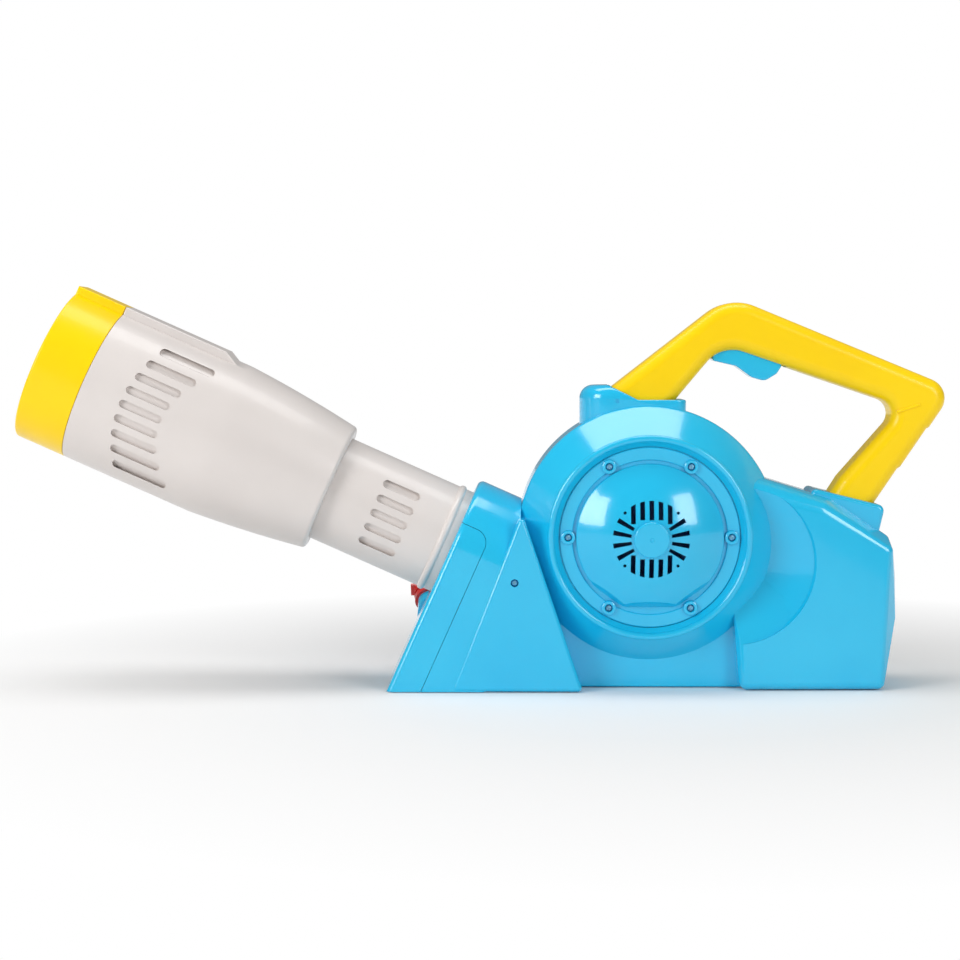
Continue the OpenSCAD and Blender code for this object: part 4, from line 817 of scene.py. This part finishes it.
def step_in(points):
    """Adds the two small steps of the rear edge between the upper corner and the foot."""
    (x0, z0, r0), (x1, z1, r1) = points
    e = Vector((x1 - x0, z1 - z0)).normalized()
    n = Vector((e.y, -e.x))
    a, b = Vector((x0, z0)), Vector((x1, z1))
    along = [(a + e * 23.6, EDGE_STEP, 0.0), (a + e * 48.8, 0.0, -EDGE_STEP)]
    out = [(x0 - n.x * EDGE_STEP, z0 - n.y * EDGE_STEP, r0)]
    for at, before, after in along:
        out += [(at.x - n.x * before, at.y - n.y * before, 0.0)]
        at = at + e * 1.6
        out += [(at.x - n.x * after, at.y - n.y * after, 0.0)]
    return out + [(b.x + n.x * EDGE_STEP, b.y + n.y * EDGE_STEP, r1)]


# Loop corners along the toy, above the fan axis and their radius
TOP = CROWN + HANDLE_RISE
LOOP_OUTER = [(-35, 62.9, 0), (41.9, TOP - 0.6, 24)]
LOOP_REAR = [(HANDLE_REACH, HANDLE_RISE + 18.5, 10.5), (105.6, -2.4, 0)]
LOOP_INNER = [(87.7, 10.9, 0), (99.3, 29.4, 8), (HANDLE_REACH - 26.5, HANDLE_RISE + 8.9, 8),
              (37.9, TOP - 25.8, 17), (5, 58, 0)]
LOOP_FEET = [(-14, CROWN + 0.4), (-14, CROWN + 4), (-19.2, CROWN + 9.3), (-30, CROWN + 30), (60, 200),
             (220, 200), (220, 40), (112.2, 8.8), (94.1, 21.1), (90, 60), (40, 60), (14.6, CROWN + 3),
             (14, CROWN + 0.4)]


def inset(corners, d):
    """Corners of a clockwise outline moved inward."""
    out = []
    count = len(corners)
    for i, (x, y, r) in enumerate(corners):
        p = Vector((x, y))
        e1 = (p - Vector(corners[i - 1][:2])).normalized()
        e2 = (Vector(corners[(i + 1) % count][:2]) - p).normalized()
        n1, n2 = Vector((e1.y, -e1.x)), Vector((e2.y, -e2.x))
        k = d / (1 + n1.dot(n2))
        bent = e1.x * e2.y - e1.y * e2.x < 0
        round_r = max(0.0, r - d if bent else r + d) if r > 0 else 0.0
        out.append((x + k * (n1.x + n2.x), y + k * (n1.y + n2.y), round_r))
    return out


def handle_plate(name, d):
    """Plain plate of the loop with its two feet, used for the pockets in the housing."""
    loop = inset(LOOP_OUTER + LOOP_REAR + LOOP_INNER, d)
    plate = slab(name, fillet(loop), -GRIP_HALF + d, GRIP_HALF - d, UPRIGHT)
    feet = inset([(x, z, 0) for x, z in LOOP_FEET], d)
    return cut(plate, slab("feet", [p[:2] for p in feet], -40, 40, UPRIGHT), "INTERSECT")


def handles():
    loop = LOOP_OUTER + step_in(LOOP_REAR) + LOOP_INNER
    grip = slab("grip", fillet(loop, 12), -GRIP_HALF, GRIP_HALF, UPRIGHT, 6.4, 7)
    cut(grip, slab("feet", LOOP_FEET, -40, 40, UPRIGHT), "INTERSECT")
    hollow = fillet(inset(LOOP_OUTER + LOOP_REAR + LOOP_INNER, 3.4))
    cut(grip, slab("room", hollow, -9.8, 9.8, UPRIGHT))
    p = PIVOT[1]
    way = [(32.2, p - 16), (71.6, p - 26), (71.6, p - 4), (50, p + 3), (32.2, p + 5)]
    half = TRIGGER_W / 2 + 0.4
    cut(grip, slab("trigger way", way, -half, half, UPRIGHT))
    left = copy_of(grip, "grip_left")
    keep_side(left, -1)
    rib = [(126.8, 63.7), (138.7, 67.4), (139.1, 66.2), (127.2, 62.5)]
    cut(left, slab("rib", rib, -GRIP_HALF - 0.8, -GRIP_HALF + 1, UPRIGHT, 0.45, 4), "UNION")
    hand_over(left, "frame", ["handle_left"], YELLOW)
    right = keep_side(grip, 1)
    right.name = right.data.name = "grip_right"
    right = screw_wells(right, HANDLE_SCREWS, HANDLE_SEAT, 4.0, 40)
    hand_over(right, "frame", ["handle_right"], YELLOW)


def trigger():
    p = PIVOT[1]
    corners = [(33.6, p + 3, 2.4), (40.5, p + 4.4, 2.4), (48, p - 0.9, 2), (68, p - 4.6, 1.2),
               (68.8, p - 14.2, 2), (66.4, p - 18.0, 3), (60.2, p - 21.8, 5), (53.4, p - 19.8, 5),
               (45.4, p - 14, 6), (33.2, p - 11.2, 1.4)]
    half = TRIGGER_W / 2
    piece = slab("trigger_lever", fillet(corners, 7), -half, half, UPRIGHT, 0.9, 4)
    pin = ON_FAN_LEFT @ Matrix.Translation((PIVOT[0], p, 0))
    cut(piece, lathe("pin hole", [(0, -20), (1.65, -20), (1.65, 20), (0, 20)], pin, 32))
    seat = [(0, p - 5.6), (4.6, p - 5.6), (4.6, p + 20), (0, p + 20)]
    cut(piece, lathe("spring seat", seat, SCALE @ Matrix.Translation((62.5, 0, FAN_Z)), 40))
    slot = [(49.6, p - 1.35), (54.4, p - 1.35), (54.4, p + 20), (49.6, p + 20)]
    cut(piece, slab("plunger seat", slot, -2.3, 2.3, UPRIGHT))
    hand_over(piece, "trigger", ["trigger"], BLUE)


# Screws

def screw_form():
    """Pan head screw with a cross recess; its seat is at zero on the local upright axis."""
    side = [(0, 1.4), (0.8, 1.35), (1.35, 1.1), (1.65, 0.55), (1.75, 0.1), (1.7, 0.0), (1.0, 0.0),
            (1.0, -4.0), (0, -4.0)]
    screw = lathe("screw", side, SCALE, 40)
    bar = [(-1.05, -0.26), (1.05, -0.26), (1.05, 0.26), (-1.05, 0.26)]
    for turn in (20, 110):
        cut(screw, slab("cross", bar, 0.6, 3.0, SCALE @ Matrix.Rotation(math.radians(turn), 4, "Z")))
    return screw


def screws(name, places, node):
    first = screw_form()
    made = [settle(copy_of(first, name), place @ SCALE.inverted()) for place in places]
    bpy.data.objects.remove(first)
    # The screws take the steel whose blue tint is a painted reflection of the housing
    return hand_over(merge(name, made), "frame", [node], BLUE_REFLECTION_STEEL)


def from_right(spots, seat):
    return [ON_FAN_RIGHT @ Matrix.Translation((x, z, seat + SCREW_GAP)) for x, z, _ in spots]


def all_screws():
    sunk = Matrix.Translation((0, 0, LID_LOW + SCREW_GAP))
    ring = [side @ at @ sunk for side in (ON_FAN_LEFT, ON_FAN_RIGHT) for at in COVER_SCREWS]
    screws("cover_screws", ring, "fan_cover_screws")
    screws("body_screws", from_right(HOUSING_SCREWS, HOUSING_SEAT), "housing_screws")
    screws("grip_screws", from_right(HANDLE_SCREWS, HANDLE_SEAT), "handle_screws")
    plate = Matrix.Translation(NOZZLE_SCREW) @ Matrix.Translation((0, 0, 33.4))
    screws("plate_screw", [ON_FAN_LEFT @ plate], "nozzle_screw")


# Tank and filler

def dip_tank():
    tank = tunnel("tank", NECK_R, CLIP_S - 4, LIP_S, NECK_RIM)
    cut(tank, ear("tank region", 0.0), "INTERSECT")
    room = tunnel("tank room", NECK_R - WALL, EAR_S + 1.6, NECK_S - NECK_FRONT, 0.0)
    trim(room, (0, 0, TANK_FLOOR * MM), (0, 0, -1))
    cut(tank, room)
    spout = [(SPOUT_BORE, -10), (SPOUT_R, -10), (SPOUT_R, SPOUT_TIP - 0.4), (SPOUT_R - 0.4, SPOUT_TIP),
             (SPOUT_BORE + 0.2, SPOUT_TIP), (SPOUT_BORE, SPOUT_TIP - 0.3)]
    neck = lathe("spout", spout, ON_SPOUT, 64)
    inner = NECK_R - WALL / 2
    plan = [(-300, -300), (100, -300), (100, inner), (-300, inner)]
    cut(neck, slab("inside", plan, -100, 200, SCALE))
    cut(tank, neck, "UNION")
    way = [(0, -14), (SPOUT_BORE, -14), (SPOUT_BORE, 60), (0, 60)]
    cut(tank, lathe("way", way, ON_SPOUT, 64))
    r = REAR_R + 0.23
    seat = [(0, NECK_S - 4), (r, NECK_S - 4), (r, NECK_S + 9), (0, NECK_S + 9)]
    cut(tank, lathe("tube seat", seat, ON_BARREL, 96))
    low = ON_BARREL @ Matrix.Translation((-30, 0, CLIP_S))
    cut(tank, lathe("shaft way", [(0, -2), (4.2, -2), (4.2, 4), (0, 4)], low, 32))
    hand_over(tank, "frame", ["dip_tank"], BLUE)


housings()
fan_cover()
handles()
trigger()
all_screws()
dip_tank()


# Solids that keep their shape and take a finish

KEPT = {"steel": STEEL, "brass": BRASS, "dark": DARK, "seal": SEAL, "cell": SLEEVE, "blue": BLUE,
        "yellow": YELLOW, "cream": CREAM, "red": RED, "navy": NAVY_PAINTED_LIGHT}


def dress_nodes():
    slot_of = {s["node"]: s["material_slot"] for s in frame["record"]["subparts"]}
    for name, obj in frame["nodes"].items():
        obj.data.materials.clear()
        obj.data.materials.append(KEPT[slot_of[name]])


dress_nodes()


# Studio

def pale_floor():
    """Floor that fades into the white surround away from the toy."""
    clear_selection()
    bpy.ops.mesh.primitive_plane_add(size=16.0, location=(0, 0, -0.0004))
    floor = bpy.context.object
    floor.name = "floor"
    mat = bpy.data.materials.new("pale_floor")
    mat.use_nodes = True
    nodes, links = mat.node_tree.nodes, mat.node_tree.links
    paint = nodes["Principled BSDF"]
    paint.inputs["Base Color"].default_value = (0.88, 0.88, 0.88, 1)
    paint.inputs["Roughness"].default_value = 0.85
    glow = nodes.new("ShaderNodeEmission")
    glow.inputs["Color"].default_value = (1, 1, 1, 1)
    where = nodes.new("ShaderNodeTexCoord")
    far = nodes.new("ShaderNodeVectorMath")
    far.operation = "LENGTH"
    fade = nodes.new("ShaderNodeMapRange")
    fade.inputs["From Min"].default_value = 0.16
    fade.inputs["From Max"].default_value = 0.42
    path = nodes.new("ShaderNodeLightPath")
    seen = nodes.new("ShaderNodeMath")
    seen.operation = "MAXIMUM"
    share = nodes.new("ShaderNodeMath")
    share.operation = "MULTIPLY"
    mix = nodes.new("ShaderNodeMixShader")
    links.new(where.outputs["Object"], far.inputs[0])
    links.new(far.outputs["Value"], fade.inputs["Value"])
    links.new(path.outputs["Is Camera Ray"], seen.inputs[0])
    links.new(path.outputs["Is Glossy Ray"], seen.inputs[1])
    links.new(seen.outputs["Value"], share.inputs[0])
    links.new(fade.outputs["Result"], share.inputs[1])
    links.new(share.outputs["Value"], mix.inputs["Fac"])
    links.new(paint.outputs["BSDF"], mix.inputs[1])
    links.new(glow.outputs["Emission"], mix.inputs[2])
    links.new(mix.outputs["Shader"], nodes["Material Output"].inputs["Surface"])
    floor.data.materials.append(mat)


def surround():
    """White background with a low, even fill light."""
    world = bpy.data.worlds.new("studio")
    bpy.context.scene.world = world
    world.use_nodes = True
    nodes, links = world.node_tree.nodes, world.node_tree.links
    back = nodes["Background"]
    back.inputs["Color"].default_value = (1, 1, 1, 1)
    path = nodes.new("ShaderNodeLightPath")
    seen = nodes.new("ShaderNodeMath")
    seen.operation = "MAXIMUM"
    level = nodes.new("ShaderNodeMapRange")
    level.inputs["To Min"].default_value = 0.25
    level.inputs["To Max"].default_value = 1.0
    links.new(path.outputs["Is Camera Ray"], seen.inputs[0])
    links.new(path.outputs["Is Transmission Ray"], seen.inputs[1])
    links.new(seen.outputs["Value"], level.inputs["Value"])
    links.new(level.outputs["Result"], back.inputs["Strength"])


def softbox(name, place, aim, size, power):
    bpy.ops.object.light_add(type="AREA", location=place)
    lamp = bpy.context.object
    lamp.name = name
    lamp.data.shape = "RECTANGLE"
    lamp.data.size, lamp.data.size_y = size
    lamp.data.energy = power
    lamp.rotation_euler = (Vector(aim) - Vector(place)).to_track_quat("-Z", "Y").to_euler()


def camera(place, aim, lens):
    bpy.ops.object.camera_add(location=place)
    cam = bpy.context.object
    cam.rotation_euler = (Vector(aim) - cam.location).to_track_quat("-Z", "Y").to_euler()
    cam.data.lens = lens
    cam.data.sensor_width = 36.0
    bpy.context.scene.camera = cam


pale_floor()
surround()
softbox("left_window", (-1.06, -0.80, 0.55), (0, 0, 0.1), (0.55, 0.66), 9.0)
softbox("right_window", (0.86, -1.06, 0.62), (0, 0, 0.1), (0.5, 0.72), 7.2)
softbox("overhead", (-0.13, 0.02, 1.16), (-0.13, 0.0, 0.1), (1.1, 0.42), 6.4)
camera((-0.0765, -1.061, 0.172), (-0.0863, 0.0, 0.1053), 76.67)
bpy.context.scene.view_settings.view_transform = "Standard"
